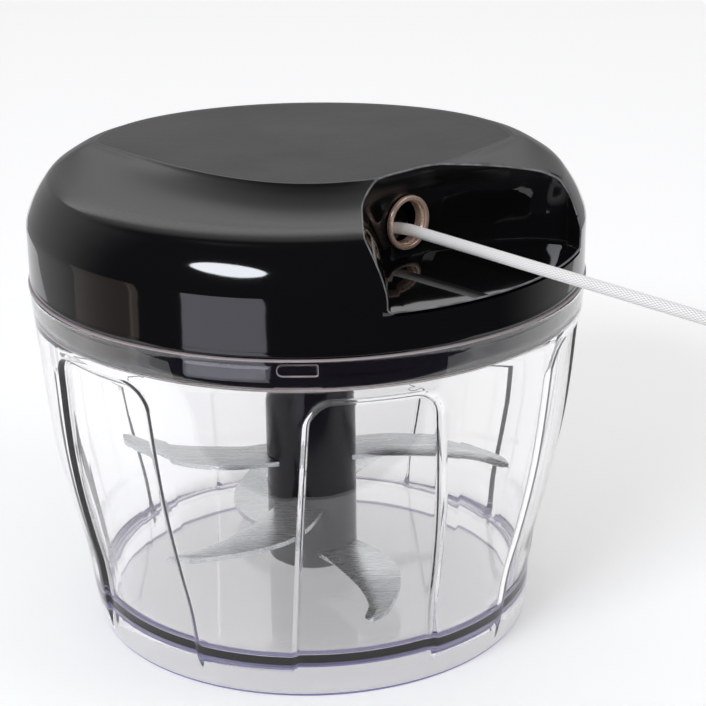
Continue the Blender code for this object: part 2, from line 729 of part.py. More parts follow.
def eyelet_shift():
    """Sideways distance of the eyelet's centre from the line through the axis along the pull."""
    side = LID_RADIUS * EYELET_SIDE_SHARE
    foot_y = (EYELET_WALL_DISTANCE - side * PULL.x) / PULL.y
    return Vector((side, foot_y, 0.0)).dot(ACROSS)


def screw_places():
    return [polar(SCREW_CIRCLE, angle, 0.0) for angle in SCREW_ANGLES]


def make_lid_shell():
    """The glossy top shell with its recess, screw bosses and the boss that holds the axle."""
    shell = loft("lid_shell", lid_rings(LID_STEPS), GLOSS_BLACK)
    hollow = loft("lid_hollow", lid_rings(CAVITY_STEPS, LID_WALL), collection=CUTTERS)
    keep = [recess_solid("recess_walls", RECESS_FLOOR - LID_WALL, LID_WALL)]
    keep.append(cylinder("axle_boss", AXLE_BOSS_RADIUS, AXLE_BOSS_BOTTOM, LID_HEIGHT, SMALL_STEPS,
                         collection=CUTTERS))
    bottom = SHELL_BOTTOM + GAP * 2.0
    for i, (x, y, _) in enumerate(screw_places()):
        keep.append(cylinder(f"screw_boss_{i}", SCREW_SHANK_RADIUS + GAP + BOSS_WALL, bottom, LID_HEIGHT,
                             SMALL_STEPS, collection=CUTTERS, centre=(x, y)))
    hollow = baked(cut(hollow, keep))
    cuts = [hollow, recess_solid("recess", RECESS_FLOOR, 0.0)]
    cuts.append(along_pull("eyelet_hole", EYELET_INNER_RADIUS + EYELET_BARREL_WALL + GAP,
                           EYELET_WALL_DISTANCE - LID_WALL - OVERRUN, EYELET_WALL_DISTANCE + OVERRUN,
                           EYELET_HEIGHT, eyelet_shift(), SMALL_STEPS + SMALL_STEPS // 2))
    cuts.append(cylinder("axle_hole", AXLE_BORE, AXLE_BOSS_BOTTOM - OVERRUN, AXLE_BOSS_BOTTOM + AXLE_SINK,
                         SMALL_STEPS, collection=CUTTERS))
    for i, (x, y, _) in enumerate(screw_places()):
        cuts.append(cylinder(f"screw_bore_{i}", SCREW_SHANK_RADIUS + GAP, bottom - OVERRUN,
                             screw_tip() + GAP * 2.0, SMALL_STEPS, collection=CUTTERS, centre=(x, y)))
    return cut(shell, cuts)


def screw_seat():
    return PLUG_BOTTOM + SCREW_SINK + SCREW_HEAD_HEIGHT


def screw_tip():
    return screw_seat() + SCREW_LENGTH


def make_lid_base():
    """The black base: flange, plug with lug grooves, floor, hub for the socket and pillars for the screws."""
    hub_inner = SOCKET_RADIUS + GAP
    hub_outer = hub_inner + HUB_WALL
    hub_top = REEL_BOTTOM - GAP
    floor_top = PLUG_BOTTOM + BASE_FLOOR
    plug_inner = PLUG_RADIUS - PLUG_WALL
    spigot = ring_radius() - RING_WIDTH
    spigot_inner = spigot - SPIGOT_WALL
    profile = [(REGISTER_RADIUS, REGISTER_TOP), (REGISTER_RADIUS, FLANGE_TOP), (LID_RADIUS, FLANGE_TOP),
               (LID_RADIUS, FLANGE_BOTTOM), (PLUG_RADIUS, FLANGE_BOTTOM), (PLUG_RADIUS, PLUG_BOTTOM),
               (spigot, PLUG_BOTTOM), (spigot, PLUG_BOTTOM - SPIGOT_DROP),
               (spigot_inner, PLUG_BOTTOM - SPIGOT_DROP), (spigot_inner, PLUG_BOTTOM),
               (hub_inner, PLUG_BOTTOM), (hub_inner, hub_top), (hub_outer, hub_top), (hub_outer, floor_top),
               (plug_inner, floor_top), (plug_inner, REGISTER_TOP)]
    base = baked(turned("lid_base", profile, ROUND_STEPS, GLOSS_BLACK))
    shank = SCREW_SHANK_RADIUS + GAP
    pillars, cuts = [], []
    for i, (x, y, _) in enumerate(screw_places()):
        pillars.append(cylinder(f"pillar_{i}", SCREW_HEAD_RADIUS + GAP + PILLAR_WALL,
                                floor_top - BASE_FLOOR / 2, SHELL_BOTTOM + GAP, SMALL_STEPS,
                                collection=CUTTERS, centre=(x, y)))
        cuts.append(cylinder(f"pillar_bore_{i}", shank, PLUG_BOTTOM - OVERRUN, SHELL_BOTTOM + OVERRUN,
                             SMALL_STEPS, collection=CUTTERS, centre=(x, y)))
        cuts.append(cylinder(f"counterbore_{i}", SCREW_HEAD_RADIUS + GAP, PLUG_BOTTOM - OVERRUN,
                             screw_seat() + GAP, SMALL_STEPS, collection=CUTTERS, centre=(x, y)))
    grow(base, pillars)
    for i in range(LUG_COUNT):
        cuts += lug_grooves(i)
    return cut(base, cuts)


def sector(name, inner, outer, low, high, angles):
    """Part of a flat ring, as a cutter, with a section at each angle."""
    rings = []
    for angle in angles:
        rings.append([polar(inner, angle, low), polar(outer, angle, low),
                      polar(outer, angle, high), polar(inner, angle, high)])
    return loft(name, rings, collection=CUTTERS)


def lug_grooves(index):
    """An L-shaped groove in the plug: straight up past a lug, then round by the locking twist."""
    depth = RIM_RADIUS - COLLAR_WALL - LUG_REACH - GAP
    outside = PLUG_RADIUS + OVERRUN
    middle = -math.pi / 2 + LUG_TURN + index * 2.0 * math.pi / LUG_COUNT
    half = (LUG_WIDTH / 2 + 2.0 * GAP) / depth
    top = LUG_CENTRE + LUG_HEIGHT / 2 + GAP
    low = LUG_CENTRE - LUG_HEIGHT / 2 - GAP
    leg = [middle + (half + TWIST_ANGLE) * share for share in (0.0, 0.25, 0.5, 0.75, 1.0)]
    return [sector(f"groove_entry_{index}", depth, outside, PLUG_BOTTOM - OVERRUN, top,
                   (middle - half, middle + half)),
            sector(f"groove_leg_{index}", depth, outside, low, top, leg)]


def ring_radius():
    """Outer radius of the sealing ring, just inside the bowl's ledge."""
    return bowl_radius(LEDGE_HEIGHT) - BOWL_WALL - RING_CLEARANCE


def make_sealing_ring():
    top = PLUG_BOTTOM - GAP
    bottom = top - RING_HEIGHT
    outer = ring_radius()
    inner = outer - RING_WIDTH + GAP
    lip = RING_HEIGHT / 3
    profile = [(inner, top), (outer - lip, top), (outer, (top + bottom) / 2), (outer - lip, bottom),
               (inner, bottom)]
    return turned("sealing_ring", profile, ROUND_STEPS, SILICONE)


def screw_profile(head_radius, head_height, shank_radius, length):
    """A pan head that faces down, with its shank running up from height zero."""
    tip = shank_radius / 2
    return [(0.0, length), (tip, length), (shank_radius, length - shank_radius), (shank_radius, 0.0),
            (head_radius, 0.0), (head_radius, -head_height / 2),
            (head_radius - head_height / 2, -head_height), (0.0, -head_height)]


def make_lid_screws():
    profile = screw_profile(SCREW_HEAD_RADIUS, SCREW_HEAD_HEIGHT, SCREW_SHANK_RADIUS, SCREW_LENGTH)
    pattern = turned("screw_pattern", profile, SMALL_STEPS, STEEL)
    return repeat("lid_screw", pattern, [(x, y, screw_seat()) for x, y, _ in screw_places()])


def make_socket():
    """The drive socket that hangs from the reel and grips the stem's ribbed head."""
    inner = SOCKET_RADIUS - SOCKET_WALL
    ceiling = SOCKET_CEILING
    tenon_top = SOCKET_TOP + TENON_HEIGHT - GAP
    floor = ceiling + BOSS_SKIN
    profile = [(0.0, SOCKET_TOP), (SOCKET_RADIUS, SOCKET_TOP), (SOCKET_RADIUS, SOCKET_BOTTOM),
               (inner, SOCKET_BOTTOM), (inner, ceiling), (0.0, ceiling)]
    socket = baked(turned("drive_socket", profile, HUB_STEPS, SATIN_BLACK))
    ribs = [cylinder("socket_tenon", TENON_RADIUS, SOCKET_TOP - SOCKET_PLATE / 4, tenon_top, 6,
                     collection=CUTTERS)]
    low, high = SOCKET_BOTTOM + GAP, ceiling + SOCKET_PLATE / 4
    for i in range(DRIVE_RIB_COUNT):
        angle = (i + 0.5) * 2.0 * math.pi / DRIVE_RIB_COUNT
        reach = DRIVE_RIB_REACH + SOCKET_WALL / 2
        middle = polar(inner - DRIVE_RIB_REACH + reach / 2, angle, (low + high) / 2)
        ribs.append(block(f"socket_rib_{i}", (reach, DRIVE_RIB_WIDTH, high - low), middle, angle,
                          collection=CUTTERS))
    grow(socket, ribs)
    return cut(socket, [cylinder("socket_bore", AXLE_BORE, floor, tenon_top + OVERRUN, SMALL_STEPS,
                                 collection=CUTTERS)])


def make_reel():
    """The reel: a grooved drum with the spring's room inside and a hexagonal hole for the socket's tenon."""
    hole = TENON_RADIUS / 2
    step_radius = COVER_RADIUS + GAP
    profile = [(REEL_FLANGE_RADIUS, REEL_TOP), (REEL_FLANGE_RADIUS, GROOVE_TOP),
               (REEL_CORE_RADIUS, GROOVE_TOP), (REEL_CORE_RADIUS, GROOVE_BOTTOM),
               (REEL_FLANGE_RADIUS, GROOVE_BOTTOM),
               (REEL_FLANGE_RADIUS, REEL_BOTTOM), (hole, REEL_BOTTOM), (hole, REEL_FLOOR),
               (ROOM_RADIUS, REEL_FLOOR), (ROOM_RADIUS, STEP_HEIGHT), (step_radius, STEP_HEIGHT),
               (step_radius, REEL_TOP)]
    reel = baked(turned("cord_reel", profile, HUB_STEPS, WHITE_PLASTIC))
    return cut(reel, [cylinder("tenon_hole", TENON_RADIUS + 2.0 * GAP, REEL_BOTTOM - OVERRUN,
                               REEL_FLOOR + OVERRUN, 6, collection=CUTTERS)])


def make_winding():
    inner = REEL_CORE_RADIUS + GAP
    outer = inner + WINDING_DEPTH
    top, bottom = GROOVE_TOP - GAP, GROOVE_BOTTOM + GAP
    profile = [(inner, top), (outer - CORD_RADIUS, top), (outer, top - CORD_RADIUS),
               (outer, bottom + CORD_RADIUS), (outer - CORD_RADIUS, bottom), (inner, bottom)]
    return turned("cord_winding", profile, HUB_STEPS, CORD)


def make_spring():
    """The flat clock spring that winds the cord back in."""
    inner = ARBOR_RADIUS + SPRING_THICKNESS / 2 + GAP
    outer = ROOM_RADIUS - SPRING_THICKNESS / 2 - SPRING_END_GAP
    low, high = REEL_FLOOR + GAP, STEP_HEIGHT - GAP
    steps = SPRING_TURNS * SPRING_STEPS
    bm = bmesh.new()
    rows = []
    for i in range(steps + 1):
        share = i / steps
        radius = inner + (outer - inner) * share
        angle = 2.0 * math.pi * SPRING_TURNS * share
        rows.append([bm.verts.new(polar(radius, angle, height)) for height in (low, high)])
    for a, b in zip(rows, rows[1:]):
        bm.faces.new((a[0], b[0], b[1], a[1]))
    spring = add_object("recoil_spring", mesh_of(bm, "recoil_spring"), STEEL)
    wall = spring.modifiers.new("strip", "SOLIDIFY")
    wall.thickness = SPRING_THICKNESS
    wall.offset = 0.0
    return spring


def make_spring_cover():
    top = COVER_BOTTOM + COVER_THICKNESS
    profile = [(AXLE_BORE, top), (COVER_RADIUS, top), (COVER_RADIUS, COVER_BOTTOM), (AXLE_BORE, COVER_BOTTOM)]
    return turned("spring_cover", profile, HUB_STEPS, WHITE_PLASTIC)


def make_arbor():
    low, high = REEL_FLOOR + GAP, COVER_BOTTOM - GAP
    profile = [(AXLE_BORE, high), (ARBOR_RADIUS, high), (ARBOR_RADIUS, low), (AXLE_BORE, low)]
    return turned("spring_arbor", profile, SMALL_STEPS, WHITE_PLASTIC)


def make_axle():
    bottom = SOCKET_CEILING + BOSS_SKIN + GAP
    top = AXLE_BOSS_BOTTOM + AXLE_SINK - GAP
    return cylinder("reel_axle", AXLE_RADIUS, bottom, top, SMALL_STEPS, STEEL)


def make_eyelet():
    """The plated eyelet: a barrel through the recess's wall with a rounded flange over its front."""
    barrel = EYELET_INNER_RADIUS + EYELET_BARREL_WALL
    round_off = EYELET_FLANGE / 3
    profile = [(EYELET_INNER_RADIUS + round_off, EYELET_FLANGE),
               (EYELET_OUTER_RADIUS - round_off, EYELET_FLANGE),
               (EYELET_OUTER_RADIUS, EYELET_FLANGE - round_off), (EYELET_OUTER_RADIUS, 0.0), (barrel, 0.0),
               (barrel, -LID_WALL - GAP), (EYELET_INNER_RADIUS, -LID_WALL - GAP),
               (EYELET_INNER_RADIUS, EYELET_FLANGE - round_off)]
    eyelet = turned("cord_eyelet", profile, HUB_STEPS, PLATED)
    face = PULL * (EYELET_WALL_DISTANCE + GAP) + ACROSS * eyelet_shift()
    eyelet.location = (face.x, face.y, EYELET_HEIGHT)
    eyelet.rotation_mode = "QUATERNION"
    eyelet.rotation_quaternion = PULL.to_track_quat("Z", "Y")
    return eyelet


def cord_exit():
    """The point in the eyelet where the cord turns into the line of the pull."""
    place = PULL * (EYELET_WALL_DISTANCE - CORD_EXIT_DEPTH) + ACROSS * (eyelet_shift() + CORD_SIDE_SHIFT)
    return Vector((place.x, place.y, CORD_HEIGHT))


def make_inner_cord():
    """The cord from the winding's left side, straight to the eyelet, then bent into the line of the pull."""
    leave = cord_exit()
    flat = math.hypot(leave.x, leave.y)
    angle = math.atan2(leave.y, leave.x) - math.acos(WINDING_RADIUS / flat)
    touch = Vector(polar(WINDING_RADIUS, angle, CORD_HEIGHT))
    run = (leave - touch).normalized()
    outer = REEL_CORE_RADIUS + GAP + WINDING_DEPTH + GAP
    start = touch + run * math.sqrt(outer ** 2 - (WINDING_RADIUS - CORD_RADIUS) ** 2)
    bend_in = leave - run * CORD_BEND_LENGTH
    bend_out = leave + PULL * CORD_BEND_LENGTH
    points = [start, start.lerp(bend_in, 0.5)]
    for i in range(6):
        t = i / 5
        points.append(bend_in.lerp(leave, t).lerp(leave.lerp(bend_out, t), t))
    return tube("cord_inner_run", points, CORD_RADIUS, CORD)


def handle_back():
    """Distance from the axis to the handle's back face when it is home."""
    return EYELET_WALL_DISTANCE + HANDLE_BACK_GAP


def make_pull_cord():
    """The taut stretch from the eyelet to the knot inside the handle."""
    start = cord_exit() + PULL * (CORD_BEND_LENGTH + GAP)
    end = knot_centre() + PULL * (REST_PULL - KNOT_RADIUS - GAP)
    count = round((end - start).length / (CORD_RADIUS * 5.0))
    points = [start.lerp(end, i / count) for i in range(count + 1)]
    return tube("pull_cord", points, CORD_RADIUS, CORD)


def knot_centre():
    distance = handle_back() + KNOT_WALL + KNOT_ROOM + KNOT_RADIUS
    centre = PULL * distance + ACROSS * (eyelet_shift() + CORD_SIDE_SHIFT)
    return Vector((centre.x, centre.y, CORD_HEIGHT))


def handle_plan(height):
    """The recess's plan less the clearance, cut so that the handle slides straight home."""
    plan = offset_plan(recess_plan(height), -HANDLE_GAP)
    plan = clip_plan(plan, ACROSS.xy, recess_lip().dot(ACROSS.xy) - HANDLE_GAP)
    return clip_plan(plan, -PULL.xy, -handle_back())


def handle_sides(distance):
    """Where a line across the handle, this far along the pull, meets its two sides."""
    plan = handle_plan(RECESS_FLOOR)
    met = []
    for here, after in zip(plan, plan[1:] + plan[:1]):
        a, b = here.dot(PULL.xy) - distance, after.dot(PULL.xy) - distance
        if a * b < 0.0:
            met.append((here + (after - here) * (a / (a - b))).dot(ACROSS.xy))
    return min(met), max(met)


def handle_solid(name, low, high):
    """The wedge that fills the recess, between two heights, cut from the lid's own outer shape."""
    wedge = loft(name, lid_rings(LID_STEPS), SATIN_BLACK)
    rings = [[(p.x, p.y, z) for p in handle_plan(z)] for z in recess_levels(RECESS_FLOOR)]
    plan_solid = loft(f"{name}_plan", rings, collection=CUTTERS)
    wide = 3.0 * LID_RADIUS
    slab = block(f"{name}_slab", (wide, wide, high - low), (0.0, 0.0, (low + high) / 2), collection=CUTTERS)
    return baked(combine(wedge, [plan_solid, slab], "INTERSECT"))


def finger_slot(name):
    """An upright oval prism through the handle, between the knot's room and the grip."""
    start = knot_centre().dot(PULL) + KNOT_RADIUS + KNOT_ROOM + FINGER_BACK_WALL
    end = LID_RADIUS - GRIP_WALL
    radius = (end - start) / 2
    left, right = handle_sides((start + end) / 2)
    straight = (right - left) / 2 - FINGER_SIDE_WALL - radius
    middle = PULL * ((start + end) / 2) + ACROSS * ((left + right) / 2)
    low, high = RECESS_FLOOR - OVERRUN, LID_HEIGHT + OVERRUN
    plan = []
    for i in range(SMALL_STEPS):
        angle = 2.0 * math.pi * (i + 0.5) / SMALL_STEPS
        sideways = radius * math.cos(angle) + math.copysign(straight, math.cos(angle))
        plan.append(middle + ACROSS * sideways + PULL * (radius * math.sin(angle)))
    return loft(name, [[(p.x, p.y, z) for p in plan] for z in (low, high)], collection=CUTTERS)


def handle_screw_places():
    distance = handle_back() + HANDLE_SCREW_DISTANCE
    left, right = handle_sides(distance)
    sides = (left + HANDLE_SCREW_INSET, right - HANDLE_SCREW_INSET)
    return [PULL * distance + ACROSS * side for side in sides]


def handle_bottom():
    return RECESS_FLOOR + HANDLE_GAP


def handle_screw_seat():
    return handle_bottom() + HANDLE_SCREW_HEAD_HEIGHT + GAP


def drawn_out(made):
    made.matrix_world = Matrix.Translation(PULL * REST_PULL) @ made.matrix_world
    return made


def make_handle_body():
    """The upper half of the handle, with the cord's hole and the room for its knot."""
    low = HANDLE_SPLIT + GAP / 2
    body = handle_solid("handle_body", low, LID_HEIGHT + OVERRUN)
    centre = knot_centre()
    room = 2.0 * (KNOT_RADIUS + KNOT_ROOM)
    top = CORD_HEIGHT + KNOT_RADIUS + KNOT_ROOM
    bottom = low - OVERRUN
    cuts = [finger_slot("finger_slot_body"),
            block("knot_room", (room, room, top - bottom), (centre.x, centre.y, (top + bottom) / 2),
                  PULL_ANGLE, collection=CUTTERS),
            along_pull("cord_hole", CORD_RADIUS + GAP, handle_back() - OVERRUN,
                       handle_back() + KNOT_WALL + OVERRUN, CORD_HEIGHT, eyelet_shift() + CORD_SIDE_SHIFT,
                       SMALL_STEPS)]
    for i, place in enumerate(handle_screw_places()):
        cuts.append(cylinder(f"handle_bore_{i}", HANDLE_SCREW_SHANK_RADIUS + GAP, bottom,
                             handle_screw_seat() + HANDLE_SCREW_LENGTH + GAP, SMALL_STEPS, collection=CUTTERS,
                             centre=place.xy))
    return drawn_out(baked(cut(body, cuts)))


def make_handle_cover():
    """The lower half of the handle, screwed on from below."""
    high = HANDLE_SPLIT - GAP / 2
    cover = handle_solid("handle_cover", handle_bottom(), high)
    cuts = [finger_slot("finger_slot_cover")]
    for i, place in enumerate(handle_screw_places()):
        cuts.append(cylinder(f"cover_bore_{i}", HANDLE_SCREW_SHANK_RADIUS + GAP, handle_bottom() - OVERRUN,
                             high + OVERRUN, SMALL_STEPS, collection=CUTTERS, centre=place.xy))
        cuts.append(cylinder(f"cover_counterbore_{i}", HANDLE_SCREW_HEAD_RADIUS + GAP,
                             handle_bottom() - OVERRUN, handle_screw_seat() + GAP, SMALL_STEPS,
                             collection=CUTTERS, centre=place.xy))
    return drawn_out(baked(cut(cover, cuts)))


def make_handle_screws():
    profile = screw_profile(HANDLE_SCREW_HEAD_RADIUS, HANDLE_SCREW_HEAD_HEIGHT, HANDLE_SCREW_SHANK_RADIUS,
                            HANDLE_SCREW_LENGTH)
    pattern = turned("handle_screw_pattern", profile, SMALL_STEPS, STEEL)
    places = [(p.x, p.y, handle_screw_seat()) for p in handle_screw_places()]
    return [drawn_out(screw) for screw in repeat("handle_screw", pattern, places)]


def make_knot():
    bm = bmesh.new()
    bmesh.ops.create_uvsphere(bm, u_segments=SMALL_STEPS, v_segments=SMALL_STEPS // 2, radius=KNOT_RADIUS)
    knot = add_object("cord_knot", mesh_of(bm, "cord_knot"), CORD)
    knot.location = knot_centre() + PULL * REST_PULL
    return knot


make_bowl()
make_pivot_pin()
make_stem()
for blade_name, blade_sizes in BLADES.items():
    make_blade(blade_name, *blade_sizes)
make_lid_shell()
make_lid_base()
make_sealing_ring()
make_lid_screws()
make_socket()
make_reel()
make_winding()
make_spring()
make_spring_cover()
make_arbor()
make_axle()
make_eyelet()
make_inner_cord()
make_pull_cord()
make_handle_body()
make_handle_cover()
make_handle_screws()
make_knot()
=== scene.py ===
# %% [markdown]
# # A pull-cord food chopper
#
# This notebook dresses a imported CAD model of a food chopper: a clear bowl, a black lid with a recess at its
# front right, and a pull handle on a braided cord that spins three blades. The CAD model gives every place
# and size. The cells below give the surfaces: fine curves, softened edges and finishes that follow real
# plastics, steel and cord.

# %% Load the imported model
import math

import bmesh
import bpy
import numpy as np
from mathutils import Matrix, Vector


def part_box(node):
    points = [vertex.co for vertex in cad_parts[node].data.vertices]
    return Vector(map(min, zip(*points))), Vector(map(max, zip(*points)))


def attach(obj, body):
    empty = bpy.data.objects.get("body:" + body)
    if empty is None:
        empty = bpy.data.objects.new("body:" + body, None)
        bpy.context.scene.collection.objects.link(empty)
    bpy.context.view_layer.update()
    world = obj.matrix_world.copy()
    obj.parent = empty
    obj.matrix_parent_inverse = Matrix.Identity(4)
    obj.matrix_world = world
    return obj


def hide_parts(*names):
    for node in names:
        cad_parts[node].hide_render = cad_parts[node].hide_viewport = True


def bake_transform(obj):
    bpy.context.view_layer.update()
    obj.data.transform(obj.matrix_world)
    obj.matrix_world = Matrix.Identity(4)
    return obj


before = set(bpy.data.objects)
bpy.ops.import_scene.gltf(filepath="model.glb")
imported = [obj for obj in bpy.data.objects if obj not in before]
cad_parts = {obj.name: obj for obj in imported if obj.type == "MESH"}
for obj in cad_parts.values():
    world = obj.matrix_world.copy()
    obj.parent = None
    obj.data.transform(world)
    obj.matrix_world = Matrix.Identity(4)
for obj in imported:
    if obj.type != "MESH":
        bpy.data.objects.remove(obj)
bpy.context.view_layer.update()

# %% [markdown]
# ## The camera
#
# The camera comes first, so that every later choice can be judged in its view. A camera is a place, a turn
# and a focal length. This one was fitted to the rim, the foot and the lid's outline. It stands 45 cm in
# front of the bowl's axis and a little above the lid, and looks down by 20 degrees. The focal length in
# pixels turns into millimetres through the sensor's width.

# %% Camera
PICTURE = 706
FOCAL_PIXELS = 2000.0
SENSOR = 36.0
CLIP_START = 0.01
CAMERA_PLACE = Vector((0.0, -0.4542, 0.2333))
PITCH, YAW, ROLL = math.radians(20.46), math.radians(1.33), math.radians(-0.64)

forward = Vector((math.cos(PITCH) * math.sin(YAW), math.cos(PITCH) * math.cos(YAW), -math.sin(PITCH)))
level_right = Vector((math.cos(YAW), -math.sin(YAW), 0.0))
level_up = level_right.cross(forward)
right = level_right * math.cos(ROLL) + level_up * math.sin(ROLL)
up = level_up * math.cos(ROLL) - level_right * math.sin(ROLL)

camera = bpy.data.objects.new("camera", bpy.data.cameras.new("camera"))
bpy.context.scene.collection.objects.link(camera)
camera.data.sensor_width = SENSOR
camera.data.lens = FOCAL_PIXELS / PICTURE * SENSOR
camera.data.clip_start = CLIP_START
camera.matrix_world = Matrix.Translation(CAMERA_PLACE) @ Matrix((right, up, -forward)).transposed().to_4x4()
bpy.context.scene.camera = camera
print(f"lens {camera.data.lens:.1f} mm")

# %% [markdown]
# ## Sizes that the pieces share
#
# The CAD source and this notebook can't read each other, so the sizes that give the main shapes are repeated
# here, in metres. The pull's direction matters most: the eyelet, the cord and the handle all lie along it.

# %% Sizes shared with the CAD model
GAP = 0.0003
RIM_RADIUS, RIM_HEIGHT = 0.0660, 0.0869
FOOT_RADIUS, FLOOR_HEIGHT, FLOOR_THICKNESS = 0.0530, 0.0097, 0.0019
BOWL_WALL, COLLAR_WALL, LEDGE_HEIGHT = 0.0020, 0.0011, 0.0796
PANEL_TOP, PANEL_DEPTH, PANEL_EDGE, PANEL_CORNER = 0.0775, 0.0012, 0.0017, 0.0070
PANEL_COUNT, PANEL_TURN = 6, math.radians(12.6)
PANEL_HALF_TOP, PANEL_HALF_FOOT = math.radians(14.0), math.radians(19.0)
LID_RADIUS, LID_HEIGHT, LID_WALL = 0.0656, 0.1170, 0.0020
FLANGE_TOP, SIDE_TOP = 0.0884, 0.1000
SHELL_BOTTOM = FLANGE_TOP + 0.00002
SHOULDER_RADIUS, SHOULDER_HEIGHT = 0.0597, 0.1109
PULL_ANGLE = math.radians(-49.1)
PULL = Vector((math.cos(PULL_ANGLE), math.sin(PULL_ANGLE), 0.0))
ACROSS = Vector((-math.sin(PULL_ANGLE), math.cos(PULL_ANGLE), 0.0))
to_pull = PULL.to_track_quat("Z", "Y").to_matrix().to_4x4()
EYELET_WALL = 0.0340
EYELET_HEIGHT, EYELET_SIDE = 0.1044, 0.02216
CORD_RADIUS, CORD_HEIGHT, CORD_SHIFT = 0.00135, 0.1025, 0.0008
REST_PULL = 0.1000
STEM_RADIUS = 0.0110


def eyelet_shift():
    """How far the eyelet's centre lies to one side of the line through the axis along the pull."""
    depth = (EYELET_WALL - EYELET_SIDE * PULL.x) / PULL.y
    return Vector((EYELET_SIDE, depth, 0.0)).dot(ACROSS)


print(f"the eyelet lies {eyelet_shift() * 1000:.2f} mm beside the axis")

# %% [markdown]
# ## The cord's route
#
# The cord is polyester braid, 2.7 mm thick. It leaves the reel's winding at a tangent, runs to the eyelet,
# bends round its edge into the line of the pull, and runs straight to a knot inside the handle. It is taut,
# because the handle is drawn out against the reel's spring, so it needs no slack and no coil. The route is a
# list of points: one list stays with the lid, and the other stretches between lid and handle.

# %% The two stretches of cord
WINDING_RADIUS, WINDING_END = 0.01915, 0.0114
CORD_BEND, BEND_DEPTH = 0.0030, 0.0015
KNOT_DEPTH, KNOT_REACH = 0.0082, 0.0033
INNER_PARTS, BEND_PARTS, FREE_PARTS = 8, 12, 24


def on_cord_line(distance):
    """The point on the line of the pull at this distance from the axis."""
    spot = PULL * distance + ACROSS * (eyelet_shift() + CORD_SHIFT)
    return Vector((spot.x, spot.y, CORD_HEIGHT))


leave, knot_place = on_cord_line(EYELET_WALL - BEND_DEPTH), on_cord_line(EYELET_WALL + KNOT_DEPTH)
tangent_turn = math.atan2(leave.y, leave.x) - math.acos(WINDING_RADIUS / math.hypot(leave.x, leave.y))
touch = Vector((math.cos(tangent_turn) * WINDING_RADIUS, math.sin(tangent_turn) * WINDING_RADIUS,
                CORD_HEIGHT))
run = (leave - touch).normalized()
bend_in, bend_out = leave - run * CORD_BEND, leave + PULL * CORD_BEND
inner_route = [(touch + run * WINDING_END).lerp(bend_in, i / INNER_PARTS) for i in range(INNER_PARTS)]
for i in range(BEND_PARTS + 1):
    share = i / BEND_PARTS
    inner_route.append(bend_in.lerp(leave, share).lerp(leave.lerp(bend_out, share), share))
free_end = knot_place + PULL * (REST_PULL - KNOT_REACH)
free_route = [bend_out.lerp(free_end, i / FREE_PARTS) for i in range(FREE_PARTS + 1)]

# %% [markdown]
# ## Finishes
#
# Each finish starts from the real material and how its surface was made. One small helper turns an sRGB hex
# colour into the linear values that the shader works in, and one adds a node with its settings and links.
# Nothing moulded or ground is quite even, so a finish may have a cloudy pattern, fixed to the piece, that
# lets its gloss drift or raises its surface. Sums in a node tree are written as rows, like a worksheet.


# %% Helpers for finishes
def linear(code):
    """An sRGB hex colour as linear red, green, blue and alpha."""
    parts = [int(code[i:i + 2], 16) / 255 for i in (1, 3, 5)]
    return tuple(p / 12.92 if p <= 0.04045 else ((p + 0.055) / 1.055) ** 2.4 for p in parts) + (1.0,)


def add(tree, kind, settings=None, links=None):
    """Adds a node. Settings are properties or input values. Links are sockets, nodes, lists or values."""
    node = tree.nodes.new(kind)
    for key, value in (settings or {}).items():
        if isinstance(key, str) and hasattr(node, key):
            setattr(node, key, value)
        else:
            node.inputs[key].default_value = value
    for key, sources in (links or {}).items():
        if isinstance(sources, (int, float, tuple)):
            node.inputs[key].default_value = sources
            continue
        for source in sources if isinstance(sources, list) else [sources]:
            socket = source.outputs[0] if isinstance(source, bpy.types.Node) else source
            tree.links.new(socket, node.inputs[key])
    return node


def work_out(tree, values, rows):
    """Adds rows of (result, operation, sources). A source is a number or the name of a value."""
    for result, operation, *sources in rows:
        links = {i: values[s] if isinstance(s, str) else s for i, s in enumerate(sources)}
        values[result] = add(tree, "ShaderNodeMath", {"operation": operation}, links).outputs[0]
    return values


def cloudy(tree, cells, detail):
    """A pattern fixed to the piece, with this many cells to the metre: one number, or one for each axis."""
    place, scale = add(tree, "ShaderNodeTexCoord").outputs["Object"], cells
    if isinstance(cells, tuple):
        place, scale = add(tree, "ShaderNodeMapping", {"Scale": cells}, {"Vector": place}), 1.0
    return add(tree, "ShaderNodeTexNoise", {"Scale": scale, "Detail": detail}, {"Vector": place})


def feed(tree, **sources):
    """Gives inputs of the Principled shader their sources."""
    for key, source in sources.items():
        tree.links.new(source.outputs[0], tree.nodes["Principled BSDF"].inputs[key.replace("_", " ")])


def finish(name, colour, gloss=None, relief=None, **settings):
    """A material. gloss is (cells, detail, smoothest, dullest), relief (cells, detail, strength, depth)."""
    made = bpy.data.materials.new(name)
    made.use_nodes = True
    made.diffuse_color = linear(colour)
    tree = made.node_tree
    shader = tree.nodes["Principled BSDF"]
    shader.inputs["Base Color"].default_value = linear(colour)
    for key, value in settings.items():
        shader.inputs[key.replace("_", " ")].default_value = value
    if gloss:
        cells, detail, smoothest, dullest = gloss
        limits = {"From Min": 0.3, "From Max": 0.7, "To Min": smoothest, "To Max": dullest}
        feed(tree, Roughness=add(tree, "ShaderNodeMapRange", limits, {"Value": cloudy(tree, cells, detail)}))
    if relief:
        cells, detail, strength, depth = relief
        feed(tree, Normal=add(tree, "ShaderNodeBump", {"Strength": strength, "Distance": depth},
                              {"Height": cloudy(tree, cells, detail)}))
    return made


print(f"#808080 is {linear('#808080')[0]:.3f} as a linear value")

